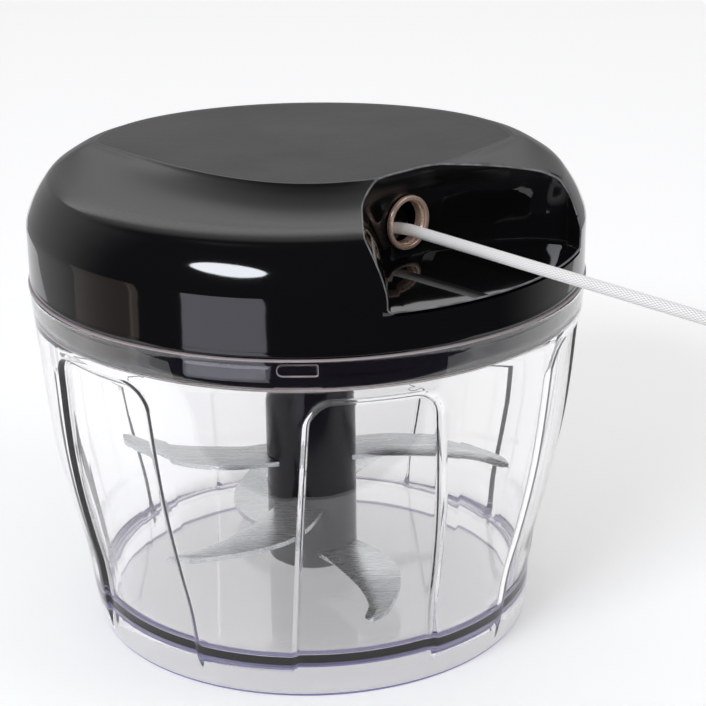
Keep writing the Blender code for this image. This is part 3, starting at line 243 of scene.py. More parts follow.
# %% [markdown]
# ### Clear bowl: styrene-acrylonitrile, injection moulded
#
# SAN is the hard clear plastic of kitchen bowls, with an index of refraction of 1.57. The steel mould is
# polished, so the surface is nearly a mirror, with only the faint waviness that moulded walls have, about
# 14 mm from crest to crest. The walls are real solids, so refraction draws the light and dark lines along
# every edge by itself. Thick parts show a cold violet tone, which a weak absorption in the volume gives.
# The ledge, the rim and the foot's ring come from machined steel, which leaves them faintly frosted. The
# finish on the ledge, the rim and the lugs' outlines is also paler than clear plastic: a painted highlight
# for the thin bright line that their rounded edges catch. The foot's ring is the thickest way through the
# wall, and its violet, half-clear finish is painted glow, standing in for violet light trapped in the thick
# ring.

# %% Clear plastic
SAN_IOR = 1.57
clear_san = finish("clear_san_plastic", "#FEFEFE", relief=(70.0, 1.0, 0.05, 0.0004), Roughness=0.015,
                   IOR=SAN_IOR, Transmission_Weight=1.0)
tree = clear_san.node_tree
tint = add(tree, "ShaderNodeVolumeAbsorption", {"Color": linear("#C9C2DE"), "Density": 13.0})
tree.links.new(tint.outputs[0], tree.nodes["Material Output"].inputs["Volume"])
# Faintly frosted finishes. The pale edge and rim colours are a painted highlight for the rounded edges'
# bright line, and the foot's violet is painted glow of trapped light.
frosted_san_painted_highlight, frosted_rim_painted_highlight, san_foot_painted_glow = [
    finish(name, colour, gloss=(900.0, 2.0, 0.28, 0.42), Roughness=0.35, IOR=SAN_IOR,
           Transmission_Weight=clearness)
    for name, colour, clearness in (("frosted_san_edge_painted_highlight", "#EFE3E4", 0.4),
                                    ("frosted_san_rim_painted_highlight", "#C2B4B7", 0.4),
                                    ("san_foot_painted_violet_glow", "#8A82C6", 0.5))]
print("clear plastics:", [look.name for look in (clear_san, frosted_san_painted_highlight, frosted_rim_painted_highlight, san_foot_painted_glow)])

# %% [markdown]
# ### Lid: black ABS, with a polished side and a spark-eroded top
#
# ABS is dyed right through and takes the mould's own surface. The side and the recess come from polished
# steel, so they reflect like lacquer, with the orange peel of a thick moulding, about 6 mm from crest to
# crest. The flank turns satin towards the top, and the flat top comes from spark-eroded steel, which leaves
# a grain of about 0.3 mm. The grain is drawn at 0.9 mm so that it shows. The recess's rounded rim gets a
# mid grey with a cloudy spread: a painted highlight for the thin bright line that its small radius catches.
# The stem comes from smoother steel than the handle, with faint streaks where the melt ran upwards.

# %% Black plastics
ABS_IOR = 1.54
SATIN_START, SATIN_END = 0.1085, 0.1128
polished_abs = finish("polished_black_abs", "#0B0B0C", relief=(160.0, 1.0, 0.04, 0.0003), Roughness=0.06,
                      IOR=ABS_IOR)
tree = polished_abs.node_tree
spot = add(tree, "ShaderNodeSeparateXYZ", links={0: add(tree, "ShaderNodeTexCoord").outputs["Object"]})
feed(tree, Roughness=add(tree, "ShaderNodeMapRange",
                         {"From Min": SATIN_START, "From Max": SATIN_END, "To Min": 0.055, "To Max": 0.30,
                          "interpolation_type": "SMOOTHSTEP"}, {"Value": spot.outputs["Z"]}))
grained_abs = finish("spark_eroded_black_abs", "#121213", gloss=(45.0, 3.0, 0.36, 0.44),
                     relief=(1100.0, 2.0, 0.35, 0.00012), Roughness=0.40, IOR=ABS_IOR)
satin_abs = finish("satin_black_abs", "#111112", relief=(900.0, 2.0, 0.2, 0.0001), Roughness=0.34,
                   IOR=ABS_IOR)
stem_abs = finish("smooth_black_abs_stem", "#0A0A0B", gloss=((420.0, 420.0, 40.0), 2.0, 0.10, 0.18),
                  Roughness=0.13, IOR=ABS_IOR, Specular_IOR_Level=0.25)


def shaded(tree, source, dark, light):
    """Colours the shader by a pattern, with a (position, hex colour) for the dark and for the light end."""
    ramp = add(tree, "ShaderNodeValToRGB", links={0: source})
    for stop, (position, colour) in zip(ramp.color_ramp.elements, (dark, light)):
        stop.position, stop.color = position, linear(colour)
    feed(tree, Base_Color=ramp)


# Painted highlight: a mid grey, cloudy between darker and lighter, for the bevel on the recess's rim,
# standing in for the bright line that the rounded edge catches.
abs_edge_painted_highlight = finish("black_abs_edge_painted_highlight", "#5A5A5C", Roughness=0.26, IOR=ABS_IOR)
tree = abs_edge_painted_highlight.node_tree
shaded(tree, cloudy(tree, 300.0, 2.0), (0.35, "#505052"), (0.65, "#767678"))
print("black plastics:", [look.name for look in (polished_abs, grained_abs, satin_abs, stem_abs, abs_edge_painted_highlight)])

# %% [markdown]
# ### Steel, plate and the small parts
#
# The blades are stainless sheet, brushed along the strip before stamping. The streaks are about 0.2 mm wide
# and many times as long, so the noise is squeezed along one way. The pin, screws, axle and spring are plain
# bright steel. The eyelet is brass with a warm nickel plate. The seal is clear silicone, and the reel is
# unfilled acetal, which looks like skimmed milk.

# %% Metals and small parts
STREAKS = (90.0, 2600.0, 2600.0)
brushed_steel = finish("brushed_stainless_steel", "#C9CBCD", gloss=(STREAKS, 3.0, 0.20, 0.34),
                       relief=(STREAKS, 3.0, 0.15, 0.00005), Metallic=1.0, Roughness=0.26)
bright_steel = finish("bright_turned_steel", "#BFC1C4", gloss=(700.0, 2.0, 0.13, 0.26), Metallic=1.0,
                      Roughness=0.18)
plated_brass = finish("warm_nickel_plated_brass", "#EBCBB8", gloss=(500.0, 3.0, 0.24, 0.36), Metallic=0.65,
                      Roughness=0.33)
silicone = finish("clear_silicone_rubber", "#E9D9D8", relief=(400.0, 2.0, 0.1, 0.0001), Roughness=0.35,
                  IOR=1.41, Transmission_Weight=0.45)
acetal = finish("moulded_white_acetal", "#DAD8D0", gloss=(220.0, 2.0, 0.33, 0.44), Roughness=0.38, IOR=1.48)
print("small parts:", [look.name for look in (brushed_steel, bright_steel, plated_brass, silicone, acetal)])

# %% [markdown]
# ### Braid
#
# The cord is a tubular braid of polyester yarn. Each yarn is a bundle of fine filaments, so it shines a
# little along its length. The mesh carries a UV map with the turn round the cord and the distance along it.
# Two waves lean opposite ways across that map, and their product is the crown of each crossing. The colour
# follows the crown: painted shade in the hollows between yarns, and paler on the crowns.

# %% Braided polyester
YARNS = 14
YARN_PITCH = 0.0012
braid = finish("white_polyester_braid", "#DEDCDB", Roughness=0.62, Sheen_Weight=0.25)
tree = braid.node_tree
chart = add(tree, "ShaderNodeUVMap", {"uv_map": "braid"})
split = add(tree, "ShaderNodeSeparateXYZ", links={0: chart})
rows = []
for lean, operation in (("left", "ADD"), ("right", "SUBTRACT")):
    rows += [(f"{lean} lean", operation, "round", "along"),
             (f"{lean} angle", "MULTIPLY", f"{lean} lean", math.pi),
             (f"{lean} wave", "COSINE", f"{lean} angle"),
             (f"{lean} yarn", "ABSOLUTE", f"{lean} wave")]
rows.append(("crown", "MULTIPLY", "left yarn", "right yarn"))
weave = work_out(tree, {"round": split.outputs["X"], "along": split.outputs["Y"]}, rows)
# Painted shade and light: darker where the crown falls away between yarns, paler on the crowns.
shaded(tree, weave["crown"], (0.0, "#BEBCBA"), (0.50, "#F5F4F2"))
fibre = add(tree, "ShaderNodeTexNoise", {"Scale": 9.0, "Detail": 2.0}, {"Vector": chart})
feed(tree, Normal=add(tree, "ShaderNodeBump", {"Strength": 0.2, "Distance": 0.0001}, {"Height": fibre}))
print("finishes:", len(bpy.data.materials))

# %% [markdown]
# ## Shapes
#
# Most pieces here are turned or lofted, so a few helpers go a long way. `skin` joins rings of points into a
# surface. `rounded` softens the corners of an outline with arcs, because no moulded or pressed edge is
# perfectly sharp, and it is the small radius that catches the light. `lathe` spins such an outline.


# %% Helpers for shapes
SHARP = 28.0


def link(name, data):
    """A new object in the scene, at the origin."""
    made = bpy.data.objects.new(name, data)
    bpy.context.scene.collection.objects.link(made)
    return made


def smooth(mesh, sharp=SHARP):
    """Smooth shading that stops at edges sharper than this angle, in degrees."""
    mesh.shade_smooth()
    mesh.set_sharp_from_angle(angle=math.radians(sharp))


def coat(made, *looks):
    """Gives a piece these finishes, with the first on every face."""
    made.data.materials.clear()
    for look in looks:
        made.data.materials.append(look)
    made.data.polygons.foreach_set("material_index", [0] * len(made.data.polygons))


def surface(name, points, faces, looks, indices=None, sharp=SHARP):
    """A smooth-shaded object from points and faces, its faces turned outwards."""
    mesh = bpy.data.meshes.new(name)
    mesh.from_pydata([tuple(p) for p in points], [], faces)
    for look in looks:
        mesh.materials.append(look)
    if indices is not None:
        mesh.polygons.foreach_set("material_index", indices)
    bm = bmesh.new()
    bm.from_mesh(mesh)
    bmesh.ops.recalc_face_normals(bm, faces=bm.faces)
    bm.to_mesh(mesh)
    bm.free()
    smooth(mesh, sharp)
    return link(name, mesh)


def skin(name, rings, looks, closed=False, bands=None, sharp=SHARP):
    """Joins rings in order. A ring of one point closes an end, and other open ends get a face."""
    points, faces, indices, starts = [], [], [], []
    for ring in rings:
        starts.append(len(points))
        points += [tuple(p) for p in ring]
    order = list(range(len(rings))) + ([0] if closed else [])
    for number, (a, b) in enumerate(zip(order, order[1:])):
        low, high = rings[a], rings[b]
        count = max(len(low), len(high))
        for i in range(count):
            j = (i + 1) % count
            if len(low) == 1:
                face = (starts[a], starts[b] + i, starts[b] + j)
            elif len(high) == 1:
                face = (starts[a] + i, starts[b], starts[a] + j)
            else:
                face = (starts[a] + i, starts[b] + i, starts[b] + j, starts[a] + j)
            faces.append(face)
            indices.append(bands[number] if bands else 0)
    if not closed:
        for a in (0, len(rings) - 1):
            if len(rings[a]) > 2:
                faces.append(tuple(range(starts[a], starts[a] + len(rings[a]))))
                indices.append(bands[min(a, len(bands) - 1)] if bands else 0)
    return surface(name, points, faces, looks, indices, sharp)


def rounded(corners, segments=4):
    """The closed outline through (x, y, radius) corners, with an arc of that radius at each."""
    out = []
    for i, (x, y, radius) in enumerate(corners):
        here = Vector((x, y))
        if radius <= 0.0:
            out.append(here)
            continue
        before, after = Vector(corners[i - 1][:2]), Vector(corners[(i + 1) % len(corners)][:2])
        u, v = (before - here).normalized(), (after - here).normalized()
        half = u.angle(v) / 2
        reach = min(radius / math.tan(half), 0.48 * (before - here).length, 0.48 * (after - here).length)
        centre = here + (u + v).normalized() * (reach * math.tan(half) / math.sin(half))
        first, last = here + u * reach - centre, here + v * reach - centre
        size = first.length
        first, last = first.normalized(), last.normalized()
        out += [centre + first.slerp(last, k / segments) * size for k in range(segments + 1)]
    return out


def polar(radius, angle, height):
    """The point at this radius, angle and height about the axis."""
    return (radius * math.cos(angle), radius * math.sin(angle), height)


def disc(radius, x=0.0, y=0.0, steps=32):
    """A round outline."""
    turns = [2.0 * math.pi * i / steps for i in range(steps)]
    return [(x + radius * math.cos(turn), y + radius * math.sin(turn)) for turn in turns]


def oblong(x_low, x_high, y_low, y_high):
    """A four-cornered outline."""
    return [(x_low, y_low), (x_high, y_low), (x_high, y_high), (x_low, y_high)]


def lathe(name, corners, looks, steps=128, segments=4, sharp=SHARP):
    """Spins a closed outline of (radius, height, fillet) corners about +Z."""
    rings = []
    for radius, height in rounded(corners, segments):
        if radius < 1e-7:
            rings.append([(0.0, 0.0, height)])
        else:
            rings.append([polar(radius, 2.0 * math.pi * i / steps, height) for i in range(steps)])
    on_axis = len(rings[0]) == 1 and len(rings[-1]) == 1
    return skin(name, rings, looks, closed=not on_axis, sharp=sharp)


def prism(name, outline, low, high, look, place=None):
    """A flat outline drawn up between two heights, then put in its place."""
    made = skin(name, [[(p[0], p[1], z) for p in outline] for z in (low, high)], [look])
    if place is not None:
        made.data.transform(place)
    return made


def turned(angle, x=0.0, y=0.0, z=0.0):
    """A turn about the axis, then a move."""
    return Matrix.Translation((x, y, z)) @ Matrix.Rotation(angle, 4, "Z")


def settle(made, sharp=SHARP):
    """Applies the modifiers, so that what is left is a plain mesh at the origin."""
    graph = bpy.context.evaluated_depsgraph_get()
    mesh = bpy.data.meshes.new_from_object(made.evaluated_get(graph))
    made.modifiers.clear()
    made.data = mesh
    smooth(mesh, sharp)
    return made


def carve(made, tools, operation="DIFFERENCE", sharp=SHARP):
    """Applies one exact Boolean for each tool, and removes the tools."""
    for tool in tools:
        step = made.modifiers.new(tool.name, "BOOLEAN")
        step.operation, step.solver, step.object = operation, "EXACT", tool
    settle(made, sharp)
    for tool in tools:
        bpy.data.objects.remove(tool, do_unlink=True)
    return made


def smooth_line(points, parts):
    """Points on a smooth curve through the given ones, with this many parts to each span."""
    points = [Vector(p) for p in points]
    out = []
    for i in range(len(points) - 1):
        before = points[i - 1] if i else points[0] * 2.0 - points[1]
        after = points[i + 2] if i + 2 < len(points) else points[-1] * 2.0 - points[-2]
        a, b = points[i], points[i + 1]
        for k in range(parts):
            t = k / parts
            out.append(0.5 * (2.0 * a + (b - before) * t + (2.0 * before - 5.0 * a + 4.0 * b - after) * t * t
                              + (3.0 * a - before - 3.0 * b + after) * t ** 3))
    return out + [points[-1]]


def lengths_along(points):
    """Distance along a line of points, at each of them."""
    lengths = [0.0]
    for a, b in zip(points, points[1:]):
        lengths.append(lengths[-1] + (b - a).length)
    return lengths


def rising(height, start, rise):
    """A smooth step from 0 to 1 over this rise."""
    share = min(max((height - start) / rise, 0.0), 1.0)
    return share * share * (3.0 - 2.0 * share)


print("a square with rounded corners:", len(rounded([(0, 0, 1), (4, 0, 1), (4, 4, 1), (0, 4, 1)])), "points")

# %% [markdown]
# ## The bowl
#
# The bowl is a moulding of constant wall with six panels pressed in, a thin collar that takes the lid, and
# a skirt below the floor for it to stand on. Its shape follows a rule, so Geometry Nodes press the panels
# in: a plain turned shell goes in, and each point moves inwards by a depth that falls smoothly from 1.2 mm
# inside a panel's outline to nothing outside it. The outline is a rounded rectangle, widening towards the
# foot. The mesh's columns are packed where a panel's edge runs, because clear plastic shows every facet.

# %% The bowl's plain shell
OUTLINE = [(0.0, 0.0530), (0.0080, 0.0546), (0.0200, 0.0562), (0.0300, 0.0586), (0.0400, 0.0608),
           (0.0500, 0.0625), (0.0600, 0.0636), (0.0700, 0.0644), (0.0795, 0.0653), (0.0869, 0.0660)]
fine_outline = np.array(smooth_line(OUTLINE, 12))
FADE_START, FADE_RISE = 0.0005, 0.0125
EDGE, FLOOR_FILLET = 0.0004, 0.0032
FLOOR_RADII, FLOOR_REACH = (0.012, 0.025, 0.038, 0.047), 0.0505
PLAIN_ROWS, CLOSE_ROWS, PLAIN_END, CLOSE_START = 34, 24, 0.0092, 0.0088
COLLAR_HEIGHTS = (0.0785, 0.0800, 0.0820, 0.0845)
PIN_HOLE, PIN_SEAT = 0.0028, 0.0011
PIN_BOSS = [(0.0060, 0.0), (0.0056, 0.0001), (0.0055, 0.0005), (0.0053, 0.0015), (0.0050, 0.0018),
            (0.0030, 0.0018), (PIN_HOLE, 0.0016)]


def bowl_radius(height):
    """Outer radius of the plain shell."""
    return float(np.interp(height, fine_outline[:, 0], fine_outline[:, 1]))


def panel_half(height):
    """Half the angle that a panel takes up."""
    return PANEL_HALF_FOOT + (PANEL_HALF_TOP - PANEL_HALF_FOOT) * min(max(height, 0.0) / PANEL_TOP, 1.0)


def bowl_angles(height):
    """Column angles at this height: close together over the panels' edges and corners."""
    pitch, half = 2.0 * math.pi / PANEL_COUNT, panel_half(height)
    edge = (PANEL_EDGE * 1.15) / bowl_radius(height)
    corner = (PANEL_CORNER + PANEL_EDGE) / bowl_radius(height)
    spans = ((-half, edge, 6), (-half + edge, corner - edge, 9), (-half + corner, 2.0 * (half - corner), 8),
             (half - corner, corner - edge, 9), (half - edge, edge, 6), (half, pitch - 2.0 * half, 9))
    offsets = [start + width * (i / parts) for start, width, parts in spans for i in range(parts)]
    return [-math.pi / 2 + PANEL_TURN + k * pitch + offset for k in range(PANEL_COUNT) for offset in offsets]


def pressed_at(height):
    """Share of the full panel depth: the panels fade out down the skirt, so the foot stays round."""
    return rising(height, FADE_START, FADE_RISE)


def bowl_rows():
    """(radius, height, share pressed) round the whole section, from under the floor to the pin's bore."""
    underside, inside, soft = FLOOR_HEIGHT - FLOOR_THICKNESS, FOOT_RADIUS - BOWL_WALL, EDGE * 0.3
    under, skirt = pressed_at(underside), bowl_radius(underside) - BOWL_WALL
    rows = [(0.0, underside, 0.0)]
    rows += [(r, underside, under * (r / FLOOR_REACH) ** 2) for r in (*FLOOR_RADII, FLOOR_REACH)]
    rows += [(skirt - 0.0004, underside - 0.0001, under), (skirt - 0.0001, underside - 0.0005, under)]
    rows += [(inside + 0.0010 * s, underside * s, pressed_at(underside * s)) for s in (0.75, 0.5, 0.25)]
    rows += [(inside, EDGE, 0.0), (inside + soft, soft, 0.0), (inside + EDGE, 0.0, 0.0),
             (FOOT_RADIUS - EDGE, 0.0, 0.0), (FOOT_RADIUS - soft, soft, 0.0)]
    heights = [*np.linspace(EDGE, PANEL_TOP - PLAIN_END, PLAIN_ROWS),
               *np.linspace(PANEL_TOP - CLOSE_START, PANEL_TOP, CLOSE_ROWS),
               *COLLAR_HEIGHTS, RIM_HEIGHT - EDGE]
    rows += [(bowl_radius(z), z, pressed_at(z)) for z in heights]
    rim_inside = RIM_RADIUS - COLLAR_WALL
    rows += [(RIM_RADIUS - soft, RIM_HEIGHT - soft, 0.0), (RIM_RADIUS - EDGE, RIM_HEIGHT, 0.0),
             (rim_inside + EDGE, RIM_HEIGHT, 0.0), (rim_inside + soft, RIM_HEIGHT - soft, 0.0)]
    rows += [(rim_inside, z, 0.0) for z in (RIM_HEIGHT - EDGE, 0.0850, 0.0825, LEDGE_HEIGHT + EDGE)]
    ledge = bowl_radius(LEDGE_HEIGHT) - BOWL_WALL
    rows += [(rim_inside - soft, LEDGE_HEIGHT + soft, 0.0), (rim_inside - EDGE, LEDGE_HEIGHT, 0.0),
             (ledge + EDGE, LEDGE_HEIGHT, 0.0), (ledge + soft, LEDGE_HEIGHT - soft, 0.0)]
    down = [z for z in heights[::-1] if FLOOR_FILLET + FLOOR_HEIGHT + 0.0005 < z < LEDGE_HEIGHT - EDGE * 1.1]
    rows += [(bowl_radius(z) - BOWL_WALL, z, 1.0) for z in down]
    corner = bowl_radius(FLOOR_HEIGHT + FLOOR_FILLET) - BOWL_WALL
    for k in range(7):
        turn = math.pi / 2 * k / 6
        height = FLOOR_HEIGHT + FLOOR_FILLET * (1.0 - math.sin(turn))
        rows.append((corner - FLOOR_FILLET * (1.0 - math.cos(turn)), height, pressed_at(height)))
    low = pressed_at(FLOOR_HEIGHT)
    rows += [(r, FLOOR_HEIGHT, low * (r / 0.0510) ** 2) for r in FLOOR_RADII[::-1]]
    rows += [(r, FLOOR_HEIGHT + rise, 0.0) for r, rise in PIN_BOSS]
    return rows + [(PIN_HOLE, underside + PIN_SEAT, 0.0), (0.0, underside + PIN_SEAT, 0.0)]


rings, wall, press = [], [], []
for radius, height, share in bowl_rows():
    angles = bowl_angles(height) if radius > 0.0 else [0.0]
    rings.append([polar(radius, angle, height) for angle in angles])
    wall += [bowl_radius(max(height, 0.0))] * len(angles)
    press += [share] * len(angles)
bowl = skin("clear_bowl", rings, [clear_san], sharp=50.0)
for label, values in (("wall_radius", wall), ("press_share", press)):
    bowl.data.attributes.new(label, "FLOAT", "POINT").data.foreach_set("value", values)
print("bowl shell:", len(bowl.data.vertices), "points")

# %% [markdown]
# The node tree below works in polar terms. It finds each point's angle from the nearest panel's middle,
# turns that into a distance from the panel's side, and combines it with the distance below the panel's top
# into one rounded-corner distance. A smooth step over the edge's width turns that into a depth.

# %% Press the panels in with Geometry Nodes
PANEL_INPUTS = {"Panel Count": PANEL_COUNT, "First Panel Angle": -math.pi / 2 + PANEL_TURN,
                "Half Angle Foot": PANEL_HALF_FOOT, "Half Angle Top": PANEL_HALF_TOP, "Panel Top": PANEL_TOP,
                "Depth": PANEL_DEPTH, "Edge Width": PANEL_EDGE, "Corner Radius": PANEL_CORNER}


def open_tree(name, labels):
    """A new Geometry Nodes tree that takes geometry and these numbers, and its input node."""
    tree = bpy.data.node_groups.new(name, "GeometryNodeTree")
    tree.interface.new_socket("Geometry", in_out="INPUT", socket_type="NodeSocketGeometry")
    for label in labels:
        tree.interface.new_socket(label, in_out="INPUT", socket_type="NodeSocketFloat")
    tree.interface.new_socket("Geometry", in_out="OUTPUT", socket_type="NodeSocketGeometry")
    return tree, add(tree, "NodeGroupInput")


def close_tree(tree, result, look):
    """Makes the result real, gives it its finish and sends it out of the tree."""
    real = add(tree, "GeometryNodeRealizeInstances", links={0: result})
    coated = add(tree, "GeometryNodeSetMaterial", {"Material": look}, {0: real})
    add(tree, "NodeGroupOutput", links={0: coated})


def use_tree(made, tree, values):
    """Puts a node tree on an object with its inputs set, and settles the result into a plain mesh."""
    step = made.modifiers.new(tree.name, "NODES")
    step.node_group = tree
    sockets = {item.name: item.identifier for item in tree.interface.items_tree if item.in_out == "INPUT"}
    for label, value in values.items():
        step[sockets[label]] = float(value)
    return settle(made, 50.0)


panels, given = open_tree("press_in_panels", PANEL_INPUTS)
spot = add(panels, "ShaderNodeSeparateXYZ", links={0: add(panels, "GeometryNodeInputPosition")})
found = dict(zip(("x", "y", "z"), spot.outputs)) | {label: given.outputs[label] for label in PANEL_INPUTS}
for label in ("wall_radius", "press_share"):
    named = {"data_type": "FLOAT", "Name": label}
    found[label] = add(panels, "GeometryNodeInputNamedAttribute", named).outputs[0]
work_out(panels, found, [
    ("pitch", "DIVIDE", 2.0 * math.pi, "Panel Count"),
    ("half pitch", "MULTIPLY", "pitch", 0.5),
    ("half pitch back", "MULTIPLY", "pitch", -0.5),
    ("angle", "ARCTAN2", "y", "x"),
    ("from first", "SUBTRACT", "angle", "First Panel Angle"),
    ("from nearest", "WRAP", "from first", "half pitch", "half pitch back"),
    ("offset", "ABSOLUTE", "from nearest"),
    ("share up", "DIVIDE", "z", "Panel Top"),
    ("rise", "MINIMUM", "share up", 1.0),
    ("narrowing", "SUBTRACT", "Half Angle Top", "Half Angle Foot"),
    ("half angle", "MULTIPLY_ADD", "narrowing", "rise", "Half Angle Foot"),
    ("past side", "SUBTRACT", "offset", "half angle"),
    ("beside", "MULTIPLY_ADD", "wall_radius", "past side", "Corner Radius"),
    ("past top", "SUBTRACT", "z", "Panel Top"),
    ("above", "ADD", "past top", "Corner Radius"),
    ("only beside", "MAXIMUM", "beside", 0.0),
    ("beside squared", "POWER", "only beside", 2.0),
    ("only above", "MAXIMUM", "above", 0.0),
    ("above squared", "POWER", "only above", 2.0),
    ("squares", "ADD", "beside squared", "above squared"),
    ("round corner", "SQRT", "squares"),
    ("nearer", "MAXIMUM", "beside", "above"),
    ("flat", "MINIMUM", "nearer", 0.0),
    ("distance", "ADD", "round corner", "flat"),
    ("outside", "SUBTRACT", "distance", "Corner Radius"),
    ("inside", "MULTIPLY", "outside", -1.0)])
step = add(panels, "ShaderNodeMapRange", {"interpolation_type": "SMOOTHSTEP"},
           {"Value": found["inside"], "From Max": found["Edge Width"], "To Max": found["Depth"]})
found["step"] = step.outputs[0]
work_out(panels, found, [
    ("depth", "MULTIPLY", "step", "press_share"),
    ("x squared", "POWER", "x", 2.0),
    ("y squared", "POWER", "y", 2.0),
    ("reach squared", "ADD", "x squared", "y squared"),
    ("reach", "SQRT", "reach squared"),
    ("radius", "MAXIMUM", "reach", 0.001),
    ("share", "DIVIDE", "depth", "radius"),
    ("inwards", "MULTIPLY", "share", -1.0),
    ("along x", "MULTIPLY", "x", "inwards"),
    ("along y", "MULTIPLY", "y", "inwards")])
move = add(panels, "ShaderNodeCombineXYZ", links={0: found["along x"], 1: found["along y"]})
pressed = add(panels, "GeometryNodeSetPosition", links={"Geometry": given, "Offset": move})
close_tree(panels, pressed, clear_san)

use_tree(bowl, panels, PANEL_INPUTS)
for label in ("wall_radius", "press_share"):
    if label in bowl.data.attributes:
        bowl.data.attributes.remove(bowl.data.attributes[label])
coat(bowl, clear_san, frosted_san_painted_highlight, frosted_rim_painted_highlight, san_foot_painted_glow)
# Ledge and rim faces take the pale finishes that paint their highlight line. The foot's ring takes the violet
# finish that paints the glow of light trapped in it.
below = FLOOR_HEIGHT - FLOOR_THICKNESS
for face in bowl.data.polygons:
    reach, height = math.hypot(face.center.x, face.center.y), face.center.z
    on_ledge = abs(height - LEDGE_HEIGHT) < 0.0003 and reach < RIM_RADIUS - COLLAR_WALL - 0.00005
    under_floor = (0.0495 < reach < bowl_radius(below) - BOWL_WALL + 0.0002
                   and below - 0.0010 < height < below + 0.00005)
    on_foot = height < 0.0005 or under_floor
    face.material_index = 1 if on_ledge else 2 if height > RIM_HEIGHT - 0.0003 else 3 if on_foot else 0
print("bowl:", len(bowl.data.polygons), "faces,", [m.name for m in bowl.data.materials])

# %% [markdown]
# Four bayonet lugs stand on the collar's inner side. Each is a low pad with rounded ends, fused to the wall,
# and the lid's base has a groove that runs up past it and then round.

# %% The bayonet lugs
LUG_COUNT, LUG_TURN = 4, math.radians(-2.3)
LUG_WIDTH, LUG_HEIGHT, LUG_REACH, LUG_CENTRE = 0.0088, 0.0026, 0.0010, 0.0842
LUG_ANGLES = [-math.pi / 2 + LUG_TURN + k * math.pi / 2 for k in range(LUG_COUNT)]
collar, w, h = RIM_RADIUS - COLLAR_WALL, LUG_WIDTH / 2, LUG_HEIGHT / 2
outline = rounded([(-w, -h, 0.0012), (w, -h, 0.0005), (w, h, 0.0005), (-w, h, 0.0012)], 5)
levels = [(collar + COLLAR_WALL / 2, 0.0), (collar - LUG_REACH + 0.0002, 0.0), (collar - LUG_REACH, 0.0002),
          (collar - LUG_REACH, 0.0005)]
lug_rings = [[(p.x * (1.0 - inset / w), p.y * (1.0 - inset / h), reach) for p in outline]
             for reach, inset in levels]
# The pad is drawn flat, then stood up against the wall: its depth turns to lie along the radius.
stand = Matrix(((0.0, 0.0, 1.0, 0.0), (1.0, 0.0, 0.0, 0.0), (0.0, 1.0, 0.0, LUG_CENTRE),
                (0.0, 0.0, 0.0, 1.0)))
# The lugs' outline faces take the pale edge finish, a painted highlight along their edges.
lugs = [skin(f"lug_{k}", lug_rings, [clear_san, frosted_san_painted_highlight], bands=[1, 1, 0]) for k in range(LUG_COUNT)]
for lug, angle in zip(lugs, LUG_ANGLES):
    lug.data.transform(turned(angle) @ stand)
carve(bowl, lugs, "UNION", 50.0)
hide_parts("bowl")
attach(bowl, "bowl")
print("bowl with lugs:", len(bowl.data.polygons), "faces")

# %% [markdown]
# ## The lid's outer shape
#
# The lid's side is upright, and its shoulder rolls over into a flank. At the front and back the flank is a
# shallow scoop, and at the two ends it is full. A crease in the shape of an eye bounds the flat top. Every
# column of the mesh is one smooth curve from the side to the crease, and its points mix the end's shares and
# the front's by the direction that it faces.

# %% The lid's columns
SHOULDER_SHARES = ((0.04, 0.12), (0.12, 0.25), (0.33, 0.5), (0.56, 0.71), (0.79, 0.88), (1.0, 1.0))
END_SHARES = ((0.18, 0.25), (0.38, 0.51), (0.6, 0.76), (0.8, 0.93), (1.0, 1.0))
FRONT_SHARES = ((0.16, 0.14), (0.4, 0.24), (0.66, 0.43), (0.86, 0.7), (1.0, 1.0))
TOP_HALF_LENGTH, TOP_FRONT, TOP_BACK, TOP_SWELL = 0.0490, 0.0368, 0.0370, 0.0016
TOP_SHARES = (0.96, 0.9, 0.8, 0.65, 0.45, 0.22)
BEAD, BEAD_WIDTH, SEAM, HOLLOW_DROP = 0.00016, 0.0006, 0.00003, 0.004
BEAD_STOPS, BEAD_STARTS, BEAD_FADE = 290.0, 333.0, 6.0
BEAD_SHAPE = ((0.0, 0.95), (0.00025, 1.0), (0.0005, 0.7), (0.0008, 0.15), (0.0011, 0.0))


def top_radius(angle):
    """Distance from the axis to the crease round the flat top."""
    if math.sin(angle) >= 0.0:
        return 1.0 / math.hypot(math.cos(angle) / TOP_HALF_LENGTH, math.sin(angle) / TOP_BACK)
    inside, outside = 0.0, TOP_HALF_LENGTH
    for _ in range(40):
        radius = (inside + outside) / 2
        along = radius * math.cos(angle) / TOP_HALF_LENGTH
        edge = (TOP_FRONT + TOP_SWELL * (1.0 + along) ** 2) * math.cos(math.pi * along / 2.0)
        inside, outside = (radius, outside) if -radius * math.sin(angle) < edge else (inside, radius)
    return inside


def bead_height(angle):
    """The crease stands a little proud as a fine bead, which fades out where the recess cuts it."""
    turn = math.degrees(angle) % 360.0
    return BEAD * min(max((BEAD_STOPS - turn) / BEAD_FADE, (turn - BEAD_STARTS) / BEAD_FADE, 0.0), 1.0)


def between(shares, start, end):
    """Points from start to end, at shares of the way in each of the two directions."""
    return [(start[0] + (end[0] - start[0]) * a, start[1] + (end[1] - start[1]) * b) for a, b in shares]


